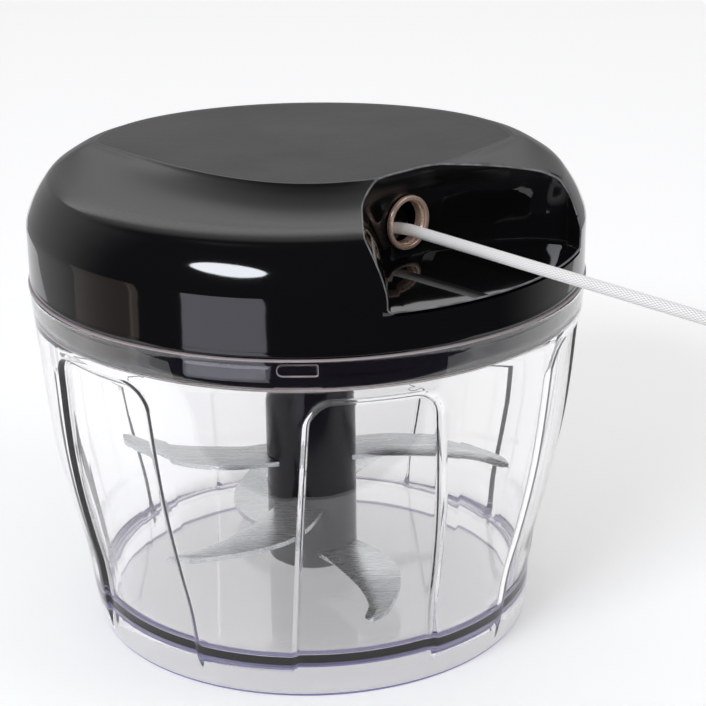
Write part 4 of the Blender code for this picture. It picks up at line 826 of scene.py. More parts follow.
def lid_column(angle):
    """(radius, height) points from the foot of the side, over the crease, to near the middle of the top."""
    side = [(LID_RADIUS, 0.0940), (LID_RADIUS, 0.0970), (LID_RADIUS, SIDE_TOP)]
    shoulder = between(SHOULDER_SHARES, side[-1], (SHOULDER_RADIUS, SHOULDER_HEIGHT))
    crease = (top_radius(angle), LID_HEIGHT)
    endwards = abs(math.cos(angle)) ** 3
    shares = [[f[k] + (e[k] - f[k]) * endwards for k in (0, 1)] for e, f in zip(END_SHARES, FRONT_SHARES)]
    curve = smooth_line(side + shoulder + between(shares, (SHOULDER_RADIUS, SHOULDER_HEIGHT), crease), 5)
    lengths = lengths_along(curve)
    short = (lengths[-1] - BEAD_WIDTH) / lengths[-1]
    kept = [tuple(float(np.interp(d * short, lengths, [p[k] for p in curve])) for k in (0, 1))
            for d in lengths]
    edge, bead = Vector(crease), bead_height(angle)
    slope = (Vector(kept[-1]) - edge).normalized()
    lip = [tuple(edge + slope * (BEAD_WIDTH / 2) + Vector((0.0, bead * 0.5)))]
    lip += [(edge.x - inwards, edge.y + bead * share) for inwards, share in BEAD_SHAPE]
    flat = [(crease[0] * share, LID_HEIGHT) for share in TOP_SHARES]
    foot = [(LID_RADIUS - SEAM, SHELL_BOTTOM), (LID_RADIUS, SHELL_BOTTOM + SEAM)]
    return foot + kept + lip + flat


def lid_solid(name, steps, looks, inset=0.0):
    """The lid's outer shape as a closed solid, or the shape that lies this far inside it."""
    shrink = (LID_RADIUS - inset) / LID_RADIUS
    angles = [2.0 * math.pi * i / steps for i in range(steps)]
    columns = [lid_column(angle) for angle in angles]
    rings = [[polar(column[row][0] * shrink, angle, column[row][1] - inset)
              for angle, column in zip(angles, columns)] for row in range(len(columns[0]))]
    if inset:
        rings[0] = [(x, y, z - HOLLOW_DROP) for x, y, z in rings[0]]
    rings.append([(0.0, 0.0, LID_HEIGHT - inset)])
    top_starts = len(rings) - len(TOP_SHARES) - 2
    bands = [1 if row >= top_starts and not inset else 0 for row in range(len(rings) - 1)]
    return skin(name, rings, looks, bands=bands)


print("a column of the lid:", len(lid_column(0.0)), "points")

# %% [markdown]
# ### The recess for the handle
#
# The recess is cut straight down into the lid and open at its side, so that the handle can slide home. Its
# left wall leans out towards the top. A flat wall square to the pull carries the eyelet, and above the
# eyelet it comes forward a little. The corners of the plan are rounded here, and so is the walls' foot.

# %% The recess's plan
RECESS_FLOOR, FLARE_START = 0.0962, 0.0985
RECESS_CORNERS = [(0.0430, -0.0160, 0.0200), (0.0530, -0.0150, 0.0140), (0.0592, -0.0172, 0.0060)]
TOP_CORNERS = [(0.0475, -0.0177, 0.0200), (0.0548, -0.0147, 0.0120), (0.0597, -0.0169, 0.0050)]
LIP, HANDLE_SIDE = Vector((0.0620, -0.0214)), 0.0320
CORNER_SIDE, CORNER_SHIFT, CORNER_RADIUS, OVERHANG = 0.0279, 0.0009, 0.0130, 0.0018
SPOON_LOW, SPOON_MORE, SPOON_START, SPOON_RISE = 0.0095, 0.0155, 0.1050, 0.0100
PLAN_TURNS, OVERHANGS = (0.1010, 0.0100), (0.1112, 0.0044)
LEFT_WALL, FLARE, FLARE_RISE, FLARE_MOST = 0.0165, 0.0052, 0.0135, 0.0046
CUT_PAST, SOFT_FLOOR, FLOOR_CLEAR = 0.0120, 0.0007, 0.0016


def flare(height):
    """How far the left wall has leaned out at this height."""
    return min(FLARE * (max(height - FLARE_START, 0.0) / FLARE_RISE) ** 1.5, FLARE_MOST)


def left_corner(height):
    """Radius between the left wall and the eyelet's wall: wide at the top, like the bowl of a spoon."""
    return SPOON_LOW + SPOON_MORE * min(max((height - SPOON_START) / SPOON_RISE, 0.0), 1.0)


def recess_plan(height, inset=0.0):
    """Rounded plan at this height, anticlockwise, drawn in by the inset."""
    left = LEFT_WALL - flare(height)
    share, over = rising(height, *PLAN_TURNS), rising(height, *OVERHANGS)
    corners = [tuple(a + (b - a) * share for a, b in zip(low, high))
               for low, high in zip(RECESS_CORNERS, TOP_CORNERS)]
    wall = EYELET_WALL + OVERHANG * over
    wall_points = [(x, (wall - x * PULL.x) / PULL.y) for x in (CORNER_SIDE - CORNER_SHIFT * over, left)]
    past = LIP + (LIP - Vector(corners[-1][:2])).normalized() * CUT_PAST
    front = -LID_RADIUS - CUT_PAST
    plan = [(left, front, 0.0), (past.x, front, 0.0), (past.x, past.y, 0.0), *corners[::-1],
            (*wall_points[0], CORNER_RADIUS), (*wall_points[1], left_corner(height))]
    points = [Vector(p[:2]) for p in plan]
    moved = []
    for i, here in enumerate(points):
        first = (here - points[i - 1]).normalized()
        second = (points[(i + 1) % len(points)] - here).normalized()
        out_a, out_b = Vector((first.y, -first.x)), Vector((second.y, -second.x))
        out = (out_a + out_b).normalized()
        moved.append(here - out * (inset / out.dot(out_a)))
    return rounded([(p.x, p.y, corner[2]) for p, corner in zip(moved, plan)], 9)


# Above the last level but one the walls stand upright, so no ring of points runs close along the rim.
UPRIGHT_FROM, PAST_TOP = 0.1160, LID_HEIGHT + 0.002
WALL_LEVELS = [FLARE_START + (UPRIGHT_FROM - FLARE_START) * k / 17 for k in range(18)] + [PAST_TOP]


def recess_solid(name, looks, inset=0.0, floor=RECESS_FLOOR, index=0, soft_floor=SOFT_FLOOR):
    """The recess as a solid, from its floor up past the lid's top."""
    levels = []
    for k in range(3):
        turn = math.pi / 2 * k / 2
        levels.append((floor + soft_floor * (1.0 - math.cos(turn)), soft_floor * (1.0 - math.sin(turn))))
    levels += [(height, 0.0) for height in [floor + FLOOR_CLEAR] + WALL_LEVELS]
    rings = [[(p.x, p.y, z) for p in recess_plan(z, inset + extra)] for z, extra in levels]
    return skin(name, rings, looks, bands=[index] * (len(rings) - 1))


def along_pull(name, radius, start, end, height, shift, look):
    """A cylinder along the pull, between two distances from the axis."""
    foot = ACROSS * shift
    place = Matrix.Translation((foot.x, foot.y, height)) @ to_pull
    return prism(name, disc(radius, steps=64), start, end, look, place)


print("recess:", len(WALL_LEVELS), "levels of", len(recess_plan(LID_HEIGHT)), "points")

# %% [markdown]
# The shell is hollow, with a boss for the reel's axle and three for the screws. Each hollow or hole is a
# solid of its own that an exact Boolean takes away. What stays inside the hollow is first taken out of it.

# %% Cut the shell
# The fourth finish is the painted highlight grey for the rim's bevel.
LOOKS = [polished_abs, grained_abs, polished_abs, abs_edge_painted_highlight]
EYELET_HOLE, HOLE_BEHIND, HOLE_BEFORE = 0.00565, 0.004, 0.002
AXLE_BOSS, AXLE_BOSS_LOW, AXLE_HOLE, AXLE_HOLE_LOW, AXLE_HOLE_TOP = 0.0055, 0.1091, 0.0028, 0.1071, 0.1131
SCREW_CIRCLE, SCREW_SEAT, SCREW_HOLE = 0.0480, 0.0824, 0.0017
SCREW_BOSS, SCREW_BOSS_LOW, SCREW_BORE_LOW, SCREW_BORE_TOP = 0.0038, 0.0893, 0.0873, 0.1020
RECESS_FACES, BEVEL_FACES = 2, 3
screw_spots = [polar(SCREW_CIRCLE, math.radians(a), 0.0)[:2] for a in (-110.0, 10.0, 130.0)]


def at_screws(name, radius, low, high):
    """An upright black cylinder at each of the lid's screws."""
    return [prism(f"{name}_{k}", disc(radius, *spot), low, high, polished_abs)
            for k, spot in enumerate(screw_spots)]


shell = lid_solid("lid_top_shell", 240, LOOKS)
hollow = lid_solid("hollow", 60, [polished_abs], LID_WALL)
kept = [recess_solid("recess_wall_block", [polished_abs], -LID_WALL, RECESS_FLOOR - LID_WALL,
                     soft_floor=0.0),
        prism("axle_boss", disc(AXLE_BOSS), AXLE_BOSS_LOW, LID_HEIGHT, polished_abs)]
carve(hollow, kept + at_screws("screw_boss", SCREW_BOSS, SCREW_BOSS_LOW, LID_HEIGHT))
cuts = [hollow, along_pull("eyelet_hole", EYELET_HOLE, EYELET_WALL - HOLE_BEHIND, EYELET_WALL + HOLE_BEFORE,
                           EYELET_HEIGHT, eyelet_shift(), polished_abs),
        prism("axle_hole", disc(AXLE_HOLE), AXLE_HOLE_LOW, AXLE_HOLE_TOP, polished_abs)]
cuts += at_screws("screw_bore", SCREW_HOLE, SCREW_BORE_LOW, SCREW_BORE_TOP)
carve(shell, [recess_solid("recess", LOOKS, index=RECESS_FACES)])
print("shell with recess:", len(shell.data.polygons), "faces")

# %% [markdown]
# ### The recess's rim
#
# In the photograph a thin bright line follows the rim of the recess: the mould's edge has a radius of about
# half a millimetre. The Boolean leaves a sharp edge there. The edges between the two sets of faces are found
# by their material index, crowding points beside them are dissolved, and a bevel rounds them.


# %% Soften the rim
RIM_BEVEL, MERGE, CROWDING = 0.00032, 0.00012, 1.7


def soften_between(made, index, width):
    """Rounds the edges where faces of this material index meet the others."""
    bm = bmesh.new()
    bm.from_mesh(made.data)

    def rim_edges():
        return [e for e in bm.edges if len(e.link_faces) == 2
                and sum(f.material_index == index for f in e.link_faces) == 1]

    def in_order(points):
        bm.verts.index_update()
        return sorted(points, key=lambda point: point.index)

    bmesh.ops.remove_doubles(bm, verts=in_order({v for e in rim_edges() for v in e.verts}), dist=MERGE)
    on_rim = {v for e in rim_edges() for v in e.verts}
    close = {edge.other_vert(point) for point in on_rim for edge in point.link_edges
             if edge.calc_length() < width * CROWDING}
    bmesh.ops.dissolve_verts(bm, verts=in_order(close - on_rim))
    # The bevel's faces take the painted highlight grey, standing in for the rim's bright line.
    bmesh.ops.bevel(bm, geom=rim_edges(), offset=width, segments=3, profile=0.5, affect="EDGES",
                    clamp_overlap=False, material=BEVEL_FACES)
    bm.to_mesh(made.data)
    bm.free()
    smooth(made.data)


soften_between(shell, RECESS_FACES, RIM_BEVEL)
for point in shell.data.vertices:
    point.co.z = min(point.co.z, LID_HEIGHT + BEAD)
carve(shell, cuts)
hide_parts("lid_shell")
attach(shell, "lid")
print("shell:", len(shell.data.polygons), "faces")

# %% [markdown]
# ## The lid's base
#
# The base is a second moulding, screwed up into the shell. Its plug drops inside the bowl's collar, and four
# grooves in it take the lugs. A short tube in the middle guides the drive socket. The plug shows through the
# clear collar as a black band.

# %% Lid base
PLUG_RADIUS, PLUG_BOTTOM, PLATE_TOP = 0.0645, 0.0800, 0.0818
REGISTER_OUTSIDE, REGISTER_INSIDE, REGISTER_RISE = 0.0630, 0.0620, 0.0038
SPIGOT_OUTSIDE, SPIGOT_INSIDE, SPIGOT_LENGTH = 0.0610, 0.0590, 0.0016
TUBE_INSIDE, TUBE_OUTSIDE, TUBE_TOP = 0.0116, 0.0136, 0.0962
PILLAR, PILLAR_LOW, PILLAR_TOP = 0.0047, 0.0809, 0.0890
BELOW_PLUG, BORE_TOP, COUNTERBORE, COUNTERBORE_TOP = 0.0780, 0.0910, 0.0032, 0.0827
GROOVE_OUTSIDE, GROOVE_RUN, GROOVE_PARTS = 0.0665, math.radians(15.0), 12
flange_low = RIM_HEIGHT + GAP
register_top, spigot_low = flange_low + REGISTER_RISE, PLUG_BOTTOM - SPIGOT_LENGTH
base = lathe("lid_base_plug", [
    (REGISTER_OUTSIDE, register_top, 0.0003), (REGISTER_OUTSIDE, FLANGE_TOP, 0.0002),
    (LID_RADIUS, FLANGE_TOP, SEAM), (LID_RADIUS, flange_low, 0.0003),
    (PLUG_RADIUS, flange_low, 0.0002), (PLUG_RADIUS, PLUG_BOTTOM, 0.0005),
    (SPIGOT_OUTSIDE, PLUG_BOTTOM, 0.0002), (SPIGOT_OUTSIDE, spigot_low, 0.0004),
    (SPIGOT_INSIDE, spigot_low, 0.0004), (SPIGOT_INSIDE, PLUG_BOTTOM, 0.0003),
    (TUBE_INSIDE, PLUG_BOTTOM, 0.0003), (TUBE_INSIDE, TUBE_TOP, 0.0002),
    (TUBE_OUTSIDE, TUBE_TOP, 0.0002), (TUBE_OUTSIDE, PLATE_TOP, 0.0005),
    (REGISTER_INSIDE, PLATE_TOP, 0.0005), (REGISTER_INSIDE, register_top, 0.0003)], [polished_abs], 192)
pillars = at_screws("pillar", PILLAR, PILLAR_LOW, PILLAR_TOP)
cuts = at_screws("bore", SCREW_HOLE, BELOW_PLUG, BORE_TOP)
cuts += at_screws("counterbore", COUNTERBORE, BELOW_PLUG, COUNTERBORE_TOP)
groove_depth = collar - LUG_REACH - GAP
half_turn = (LUG_WIDTH / 2 + 2.0 * GAP) / groove_depth
groove_low, groove_top = LUG_CENTRE - LUG_HEIGHT / 2 - GAP, LUG_CENTRE + LUG_HEIGHT / 2 + GAP
for k, middle in enumerate(LUG_ANGLES):
    for label, low, begin, end in (("entry", BELOW_PLUG, middle - half_turn, middle + half_turn),
                                   ("leg", groove_low, middle, middle + half_turn + GROOVE_RUN)):
        angles = [begin + (end - begin) * i / GROOVE_PARTS for i in range(GROOVE_PARTS + 1)]
        rings = [[polar(groove_depth, angle, low), polar(GROOVE_OUTSIDE, angle, low),
                  polar(GROOVE_OUTSIDE, angle, groove_top), polar(groove_depth, angle, groove_top)]
                 for angle in angles]
        cuts.append(skin(f"groove_{label}_{k}", rings, [polished_abs]))
carve(base, pillars, "UNION")
carve(base, cuts)
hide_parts("lid_base")
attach(base, "lid")
print("lid base:", len(base.data.polygons), "faces")

# %% [markdown]
# The sealing ring is a small silicone moulding with a rounded lip, pressed over the base's spigot. Seen
# through the bowl's ledge it is the pale line under the black band.

# %% Sealing ring
SEAL_INSIDE, SEAL_OUTSIDE, SEAL_TOP, SEAL_LOW = 0.0613, 0.0628, 0.0797, 0.0787
seal = lathe("silicone_seal", [
    (SEAL_INSIDE, SEAL_TOP, 0.0002), (SEAL_OUTSIDE, SEAL_TOP, 0.00045), (SEAL_OUTSIDE, SEAL_LOW, 0.00045),
    (SEAL_INSIDE, SEAL_LOW, 0.0002)], [silicone], 192)
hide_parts("sealing_ring")
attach(seal, "seal")
print("seal:", len(seal.data.polygons), "faces")

# %% [markdown]
# ## The eyelet
#
# A rolled brass eyelet keeps the cord off the plastic. Its front is a bead that was curled over in the
# press, so its section is nearly a half circle, and its barrel runs through the wall.

# %% Eyelet
FLANGE_RADIUS, FLANGE_THICKNESS, THROAT = 0.00625, 0.0009, 0.00510
BARREL_OUTSIDE, BARREL_INSIDE, BARREL_END = 0.00535, 0.00475, -0.0023
face = PULL * (EYELET_WALL + GAP) + ACROSS * eyelet_shift()
eyelet = lathe("rolled_eyelet", [
    (THROAT, FLANGE_THICKNESS, 0.00038), (FLANGE_RADIUS, FLANGE_THICKNESS, 0.00040),
    (FLANGE_RADIUS, 0.0, 0.00012), (BARREL_OUTSIDE, 0.0, 0.0001),
    (BARREL_OUTSIDE, BARREL_END, 0.0001), (BARREL_INSIDE, BARREL_END, 0.0001),
    (BARREL_INSIDE, -0.0003, 0.0006), (THROAT, 0.0002, 0.0003)], [plated_brass], 96, 6, 40.0)
eyelet.data.transform(Matrix.Translation((face.x, face.y, EYELET_HEIGHT)) @ to_pull)
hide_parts("cord_eyelet")
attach(eyelet, "lid")
print("eyelet:", len(eyelet.data.polygons), "faces")

# %% [markdown]
# ## Stem, pin and blades
#
# The stem is a turned-looking black moulding with a slot for each blade and three drive ribs on its head. It
# turns on a steel pin in the bowl's floor.

# %% Stem and pin
STEM_LOW, SHOULDER, HEAD_TOP, HEAD_RADIUS, PIN_HOLE_TOP = 0.0118, 0.0788, 0.0915, 0.0074, 0.0243
PIN_RADIUS, PIN_TOP, PIN_LOW = 0.0025, 0.0240, 0.0092
RIB_HALF, THIRD = 0.0014, 2.0 * math.pi / 3.0
RIB_INSIDE, RIB_OUTSIDE, RIB_LOW, RIB_TOP = 0.0037, 0.0094, 0.0776, 0.0903
SLOT_LENGTH, SLOT_WIDTH, SLOT_HEIGHT = 0.0260, 0.0126, 0.0018
BLADES = [("lower_blade", 0.0155, 0.0465, -50.0), ("middle_blade", 0.0270, 0.0480, 70.0),
          ("upper_blade", 0.0385, 0.0490, 10.0)]


def drive_ribs(name, inner, outer, low, high, look, first=0.0):
    """Three upright ribs about the axis, from an inner to an outer (radius, fillet)."""
    corners = [(x, y, fillet) for (x, fillet), y in
               ((inner, -RIB_HALF), (outer, -RIB_HALF), (outer, RIB_HALF), (inner, RIB_HALF))]
    return [prism(f"{name}_{k}", rounded(corners, 3), low, high, look, turned((k + first) * THIRD))
            for k in range(3)]


stem = lathe("blade_stem_moulding", [
    (0.0, HEAD_TOP, 0.0), (HEAD_RADIUS, HEAD_TOP, 0.0010), (HEAD_RADIUS, SHOULDER, 0.0003),
    (STEM_RADIUS, SHOULDER, 0.0010), (STEM_RADIUS, STEM_LOW, 0.0008), (PIN_HOLE, STEM_LOW, 0.0003),
    (PIN_HOLE, PIN_HOLE_TOP, 0.0003), (0.0, PIN_HOLE_TOP, 0.0)], [stem_abs], 96)
carve(stem, drive_ribs("rib", (RIB_INSIDE, 0.0), (RIB_OUTSIDE, 0.0004), RIB_LOW, RIB_TOP, stem_abs), "UNION")
slot_plan = oblong(-SLOT_LENGTH / 2, SLOT_LENGTH / 2, -SLOT_WIDTH / 2, SLOT_WIDTH / 2)
carve(stem, [prism(f"slot_{name}", slot_plan, height - SLOT_HEIGHT / 2, height + SLOT_HEIGHT / 2, stem_abs,
                   turned(math.radians(turn))) for name, height, _, turn in BLADES])
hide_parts("blade_stem")
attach(stem, "blades")

pin = lathe("floor_pin", [(0.0, PIN_TOP, 0.0), (PIN_RADIUS, PIN_TOP, 0.0008), (PIN_RADIUS, PIN_LOW, 0.0002),
                          (0.0, PIN_LOW, 0.0)], [bright_steel], 48)
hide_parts("bowl_pivot_pin")
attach(pin, "bowl")
print("stem and pin:", len(stem.data.polygons), len(pin.data.polygons), "faces")

# %% [markdown]
# ### Blades
#
# Each blade is stamped from 1.2 mm sheet as one strip with two swept arms, then ground on one side of each
# arm. The strip is lofted from tip to tip. Its section has eight points, so that the ground side can thin
# down to an edge over 3 mm while the other side stays full.

# %% Ground blades
SHEET, GRIND_WIDTH, GRIND_DEPTH, GRIND_START = 0.0012, 0.0030, 0.85, 0.12
ROOT_HALF, BELLY_HALF, TIP_HALF = 0.0060, 0.0078, 0.0026
SWEEP, SWEEP_POWER, TIP_START, STATIONS = math.radians(24.0), 1.6, 0.9, 27
BURR, PINNED_BELOW = 0.0001, 0.024


def blade_section(share, reach):
    """Middle, crosswise direction and half width of the arm at this share of its length."""
    start = STEM_RADIUS + 2.0 * GAP
    belly = math.sin(math.pi * min(share * 1.25, 1.0))
    half = ROOT_HALF + (TIP_HALF - ROOT_HALF) * share + (BELLY_HALF - ROOT_HALF) * belly
    if share > TIP_START:
        half *= math.sqrt(max(1.0 - ((share - TIP_START) / (1.0 - TIP_START)) ** 2, 0.02))
    angle = -SWEEP * share ** SWEEP_POWER
    out = Vector((math.cos(angle), math.sin(angle)))
    return out * (start + (reach - start) * share), Vector((-out.y, out.x)), half


def blade(name, height, reach, turn):
    """One strip with two arms, ground on opposite sides."""
    shares = [i / (STATIONS - 1) * 0.998 for i in range(STATIONS)]
    full, rings = SHEET / 2, []
    for sign, share in [(-1, s) for s in shares[::-1]] + [(1, s) for s in shares]:
        middle, cross, half = blade_section(share, reach)
        middle = middle * sign
        ground = min(share / GRIND_START, 1.0)
        sides = []
        for amount in ((ground, 0.0) if sign > 0 else (0.0, ground)):
            line = half - min(GRIND_WIDTH, half * 0.9) * amount - BURR
            sides.append((full * (1.0 - GRIND_DEPTH * amount), line))
        (a_thin, a_line), (b_thin, b_line) = sides
        upper = [(-half, a_thin), (-a_line, full), (b_line, full), (half, b_thin)]
        section = upper + [(w, -z) for w, z in upper[::-1]]
        rings.append([(middle.x + cross.x * w, middle.y + cross.y * w, z) for w, z in section])
    made = skin(name, rings, [brushed_steel], sharp=12.0)
    if height < PINNED_BELOW:
        carve(made, [prism(f"{name}_hole", disc(PIN_HOLE), -SHEET, SHEET, brushed_steel)], sharp=12.0)
    made.data.transform(turned(math.radians(turn), z=height))
    return made


for name, height, reach, turn in BLADES:
    made = blade(f"{name}_ground", height, reach, turn)
    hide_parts(name)
    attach(made, "blades")
    print(made.name, len(made.data.polygons), "faces")

# %% [markdown]
# ## Drive socket
#
# The socket hangs from the reel and grips the stem's ribs with three of its own. It shows when the lid is
# lifted and looked at from below.

# %% Socket
SOCKET_OUTSIDE, SOCKET_INSIDE = 0.0113, 0.0099
SOCKET_TOP, SOCKET_LOW, SOCKET_ROOF = 0.0962, 0.0793, 0.0927
TENON, TENON_LOW, TENON_TOP = 0.0070, 0.0953, 0.0977
GRIP_INSIDE, GRIP_OUTSIDE, GRIP_LOW, GRIP_TOP = 0.0079, 0.0106, 0.0796, 0.0936
SOCKET_BORE_LOW, SOCKET_BORE_TOP = 0.0938, 0.0997
socket = lathe("drive_socket_moulding", [
    (0.0, SOCKET_TOP, 0.0), (SOCKET_OUTSIDE, SOCKET_TOP, 0.0003), (SOCKET_OUTSIDE, SOCKET_LOW, 0.0005),
    (SOCKET_INSIDE, SOCKET_LOW, 0.0005), (SOCKET_INSIDE, SOCKET_ROOF, 0.0004), (0.0, SOCKET_ROOF, 0.0)],
    [satin_abs], 96)
grips = drive_ribs("grip", (GRIP_INSIDE, 0.0004), (GRIP_OUTSIDE, 0.0), GRIP_LOW, GRIP_TOP, satin_abs, 0.5)
carve(socket, [prism("tenon", disc(TENON, steps=6), TENON_LOW, TENON_TOP, satin_abs)] + grips, "UNION")
carve(socket, [prism("socket_bore", disc(AXLE_HOLE), SOCKET_BORE_LOW, SOCKET_BORE_TOP, satin_abs)])
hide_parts("drive_socket")
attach(socket, "reel")
print("socket:", len(socket.data.polygons), "faces")

# %% [markdown]
# ## Screws
#
# Five pan-head screws hold the lid and the handle together, all with their heads down. One node tree makes a
# screw from its sizes and sets a copy on each point it is given: two cones and two cylinders are joined, a
# cross is cut in the head, and the copies are made real.

# %% Set screws with Geometry Nodes
SCREW_INPUTS = ("Head Radius", "Head Height", "Shank Radius", "Length")
screws, given = open_tree("set_screws", SCREW_INPUTS)
made = work_out(screws, {label: given.outputs[label] for label in SCREW_INPUTS}, [
    ("crown radius", "MULTIPLY", "Head Radius", 0.72),
    ("crown depth", "MULTIPLY", "Head Height", 0.45),
    ("crown place", "MULTIPLY", "Head Height", -0.55),
    ("head depth", "MULTIPLY", "Head Height", 0.56),
    ("head place", "MULTIPLY", "Head Height", -0.28),
    ("shank depth", "MULTIPLY", "Length", 0.95),
    ("shank place", "MULTIPLY", "Length", 0.45),
    ("tip radius", "MULTIPLY", "Shank Radius", 0.3),
    ("tip depth", "MULTIPLY", "Length", 0.08),
    ("tip place", "MULTIPLY", "Length", 0.92),
    ("bar length", "MULTIPLY", "Head Radius", 1.05),
    ("bar width", "MULTIPLY", "Head Radius", 0.28),
    ("bar place", "MULTIPLY", "Head Height", -1.0)])


def placed(tree, source, height):
    """Lifts geometry to a height."""
    lift = add(tree, "ShaderNodeCombineXYZ", links={2: height})
    return add(tree, "GeometryNodeTransform", links={"Geometry": source, "Translation": lift}).outputs[0]


crown = add(screws, "GeometryNodeMeshCone", {"Vertices": 32},
            {"Radius Top": made["crown radius"], "Radius Bottom": made["Head Radius"],
             "Depth": made["crown depth"]})
crown = add(screws, "GeometryNodeTransform", {"Rotation": (math.pi, 0.0, 0.0)}, {"Geometry": crown})
head = add(screws, "GeometryNodeMeshCylinder", {"Vertices": 32},
           {"Radius": made["Head Radius"], "Depth": made["head depth"]})
shank = add(screws, "GeometryNodeMeshCylinder", {"Vertices": 24},
            {"Radius": made["Shank Radius"], "Depth": made["shank depth"]})
tip = add(screws, "GeometryNodeMeshCone", {"Vertices": 24},
          {"Radius Top": made["tip radius"], "Radius Bottom": made["Shank Radius"],
           "Depth": made["tip depth"]})
parts = [placed(screws, part, made[f"{label} place"]) for part, label in
         ((crown, "crown"), (head, "head"), (shank, "shank"), (tip, "tip"))]
body = add(screws, "GeometryNodeMeshBoolean", {"operation": "UNION", "solver": "EXACT"}, {"Mesh 2": parts})
bars = []
for first, second in (("bar length", "bar width"), ("bar width", "bar length")):
    size = add(screws, "ShaderNodeCombineXYZ",
               links={0: made[first], 1: made[second], 2: made["Head Height"]})
    bar = add(screws, "GeometryNodeMeshCube", links={"Size": size})
    bars.append(placed(screws, bar, made["bar place"]))
driven = add(screws, "GeometryNodeMeshBoolean", {"operation": "DIFFERENCE", "solver": "EXACT"},
             {"Mesh 1": body, "Mesh 2": bars})
close_tree(screws, add(screws, "GeometryNodeInstanceOnPoints", links={"Points": given, "Instance": driven}),
           bright_steel)


def screw_set(name, places, *sizes):
    """Screws at these places, from their head's radius and height, shank's radius and length."""
    mesh = bpy.data.meshes.new(name)
    mesh.from_pydata(places, [], [])
    mesh.materials.append(bright_steel)
    made = use_tree(link(name, mesh), screws, dict(zip(SCREW_INPUTS, sizes)))
    coat(made, bright_steel)
    return made


lid_screws = screw_set("lid_screws", [(*spot, SCREW_SEAT) for spot in screw_spots],
                       0.0029, 0.0018, 0.0014, 0.0190)
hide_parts("lid_screw_1", "lid_screw_2", "lid_screw_3")
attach(lid_screws, "lid")

HANDLE_HEAD_HEIGHT = 0.0013
handle_spots = []
for node in ("handle_screw_1", "handle_screw_2"):
    low, high = (Vector(corner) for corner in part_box(node))
    handle_spots.append(((low.x + high.x) / 2, (low.y + high.y) / 2, low.z + HANDLE_HEAD_HEIGHT))
handle_screws = screw_set("handle_screws", handle_spots, 0.0022, HANDLE_HEAD_HEIGHT, 0.0011, 0.0085)
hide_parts("handle_screw_1", "handle_screw_2")
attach(handle_screws, "handle")
print("screws:", len(lid_screws.data.polygons), len(handle_screws.data.polygons), "faces")

# %% [markdown]
# ## The pull handle
#
# The handle fills the recess when it is home, so its top is a piece of the lid's own surface. An oval slot
# gives the grip. It is cut from the same shapes as the lid, in two halves, and then remeshed in 0.45 mm
# cells and smoothed, which rounds every edge as the real moulding's are.

# %% Handle halves
HANDLE_GAP, HANDLE_BACK, HANDLE_SPLIT, SPLIT_GAP = 0.0006, EYELET_WALL + 0.0016, 0.0990, 0.00015
GRIP_LEFT, GRIP_RIGHT, GRIP_DISTANCE, GRIP_END, GRIP_PARTS = -0.0124, 0.0198, 0.0538, 0.0060, 48
BELOW_HANDLE, ABOVE_HANDLE, CELLS, SOFTENING = 0.090, 0.120, 0.00045, 7
KNOT_ROOM, KNOT_ROOM_LOW, CORD_CLEARANCE, HOLE_IN, HOLE_OUT = 0.0036, 0.0970, 0.0004, 0.005, 0.002
PILOT, PILOT_LENGTH, HEAD_ROOM, HEAD_ROOM_TOP = 0.0014, 0.0089, 0.0026, 0.0003
BORE_LOW, BORE_HIGH = 0.0940, 0.1010


def grip_outline():
    """The oval slot that takes the grip, drawn where the handle is home."""
    half, outline = (GRIP_RIGHT - GRIP_LEFT) / 2 - GRIP_END, []
    for i in range(GRIP_PARTS):
        angle = 2.0 * math.pi * (i + 0.5) / GRIP_PARTS
        sideways = GRIP_END * math.cos(angle) + math.copysign(half, math.cos(angle))
        outline.append(PULL * (GRIP_DISTANCE + GRIP_END * math.sin(angle))
                       + ACROSS * ((GRIP_LEFT + GRIP_RIGHT) / 2 + sideways))
    return outline


def handle_half(name, low, high, bores):
    """The recess's shape between two heights, with its slot and bores, softened and drawn out."""
    rings = [[(p.x, p.y, z) for p in recess_plan(z, HANDLE_GAP)] for z in [RECESS_FLOOR] + WALL_LEVELS]
    made = lid_solid(name, 120, [satin_abs])
    coat(made, satin_abs)
    far, side = LID_RADIUS * 1.5, HANDLE_SIDE - HANDLE_GAP
    slab = [PULL * along + ACROSS * across for along, across in oblong(HANDLE_BACK, far, -far, side)]
    carve(made, [skin(f"{name}_plan", rings, [satin_abs]),
                 prism(f"{name}_slab", slab, low, high, satin_abs)], "INTERSECT")
    carve(made, [prism(f"{name}_slot", grip_outline(), BELOW_HANDLE, ABOVE_HANDLE, satin_abs)] + bores)
    made.data.transform(Matrix.Translation(PULL * REST_PULL))
    grid = made.modifiers.new("cells", "REMESH")
    grid.mode, grid.voxel_size, grid.use_smooth_shade = "VOXEL", CELLS, True
    soft = made.modifiers.new("soft", "SMOOTH")
    soft.factor, soft.iterations = 0.5, SOFTENING
    return settle(made, 60.0)


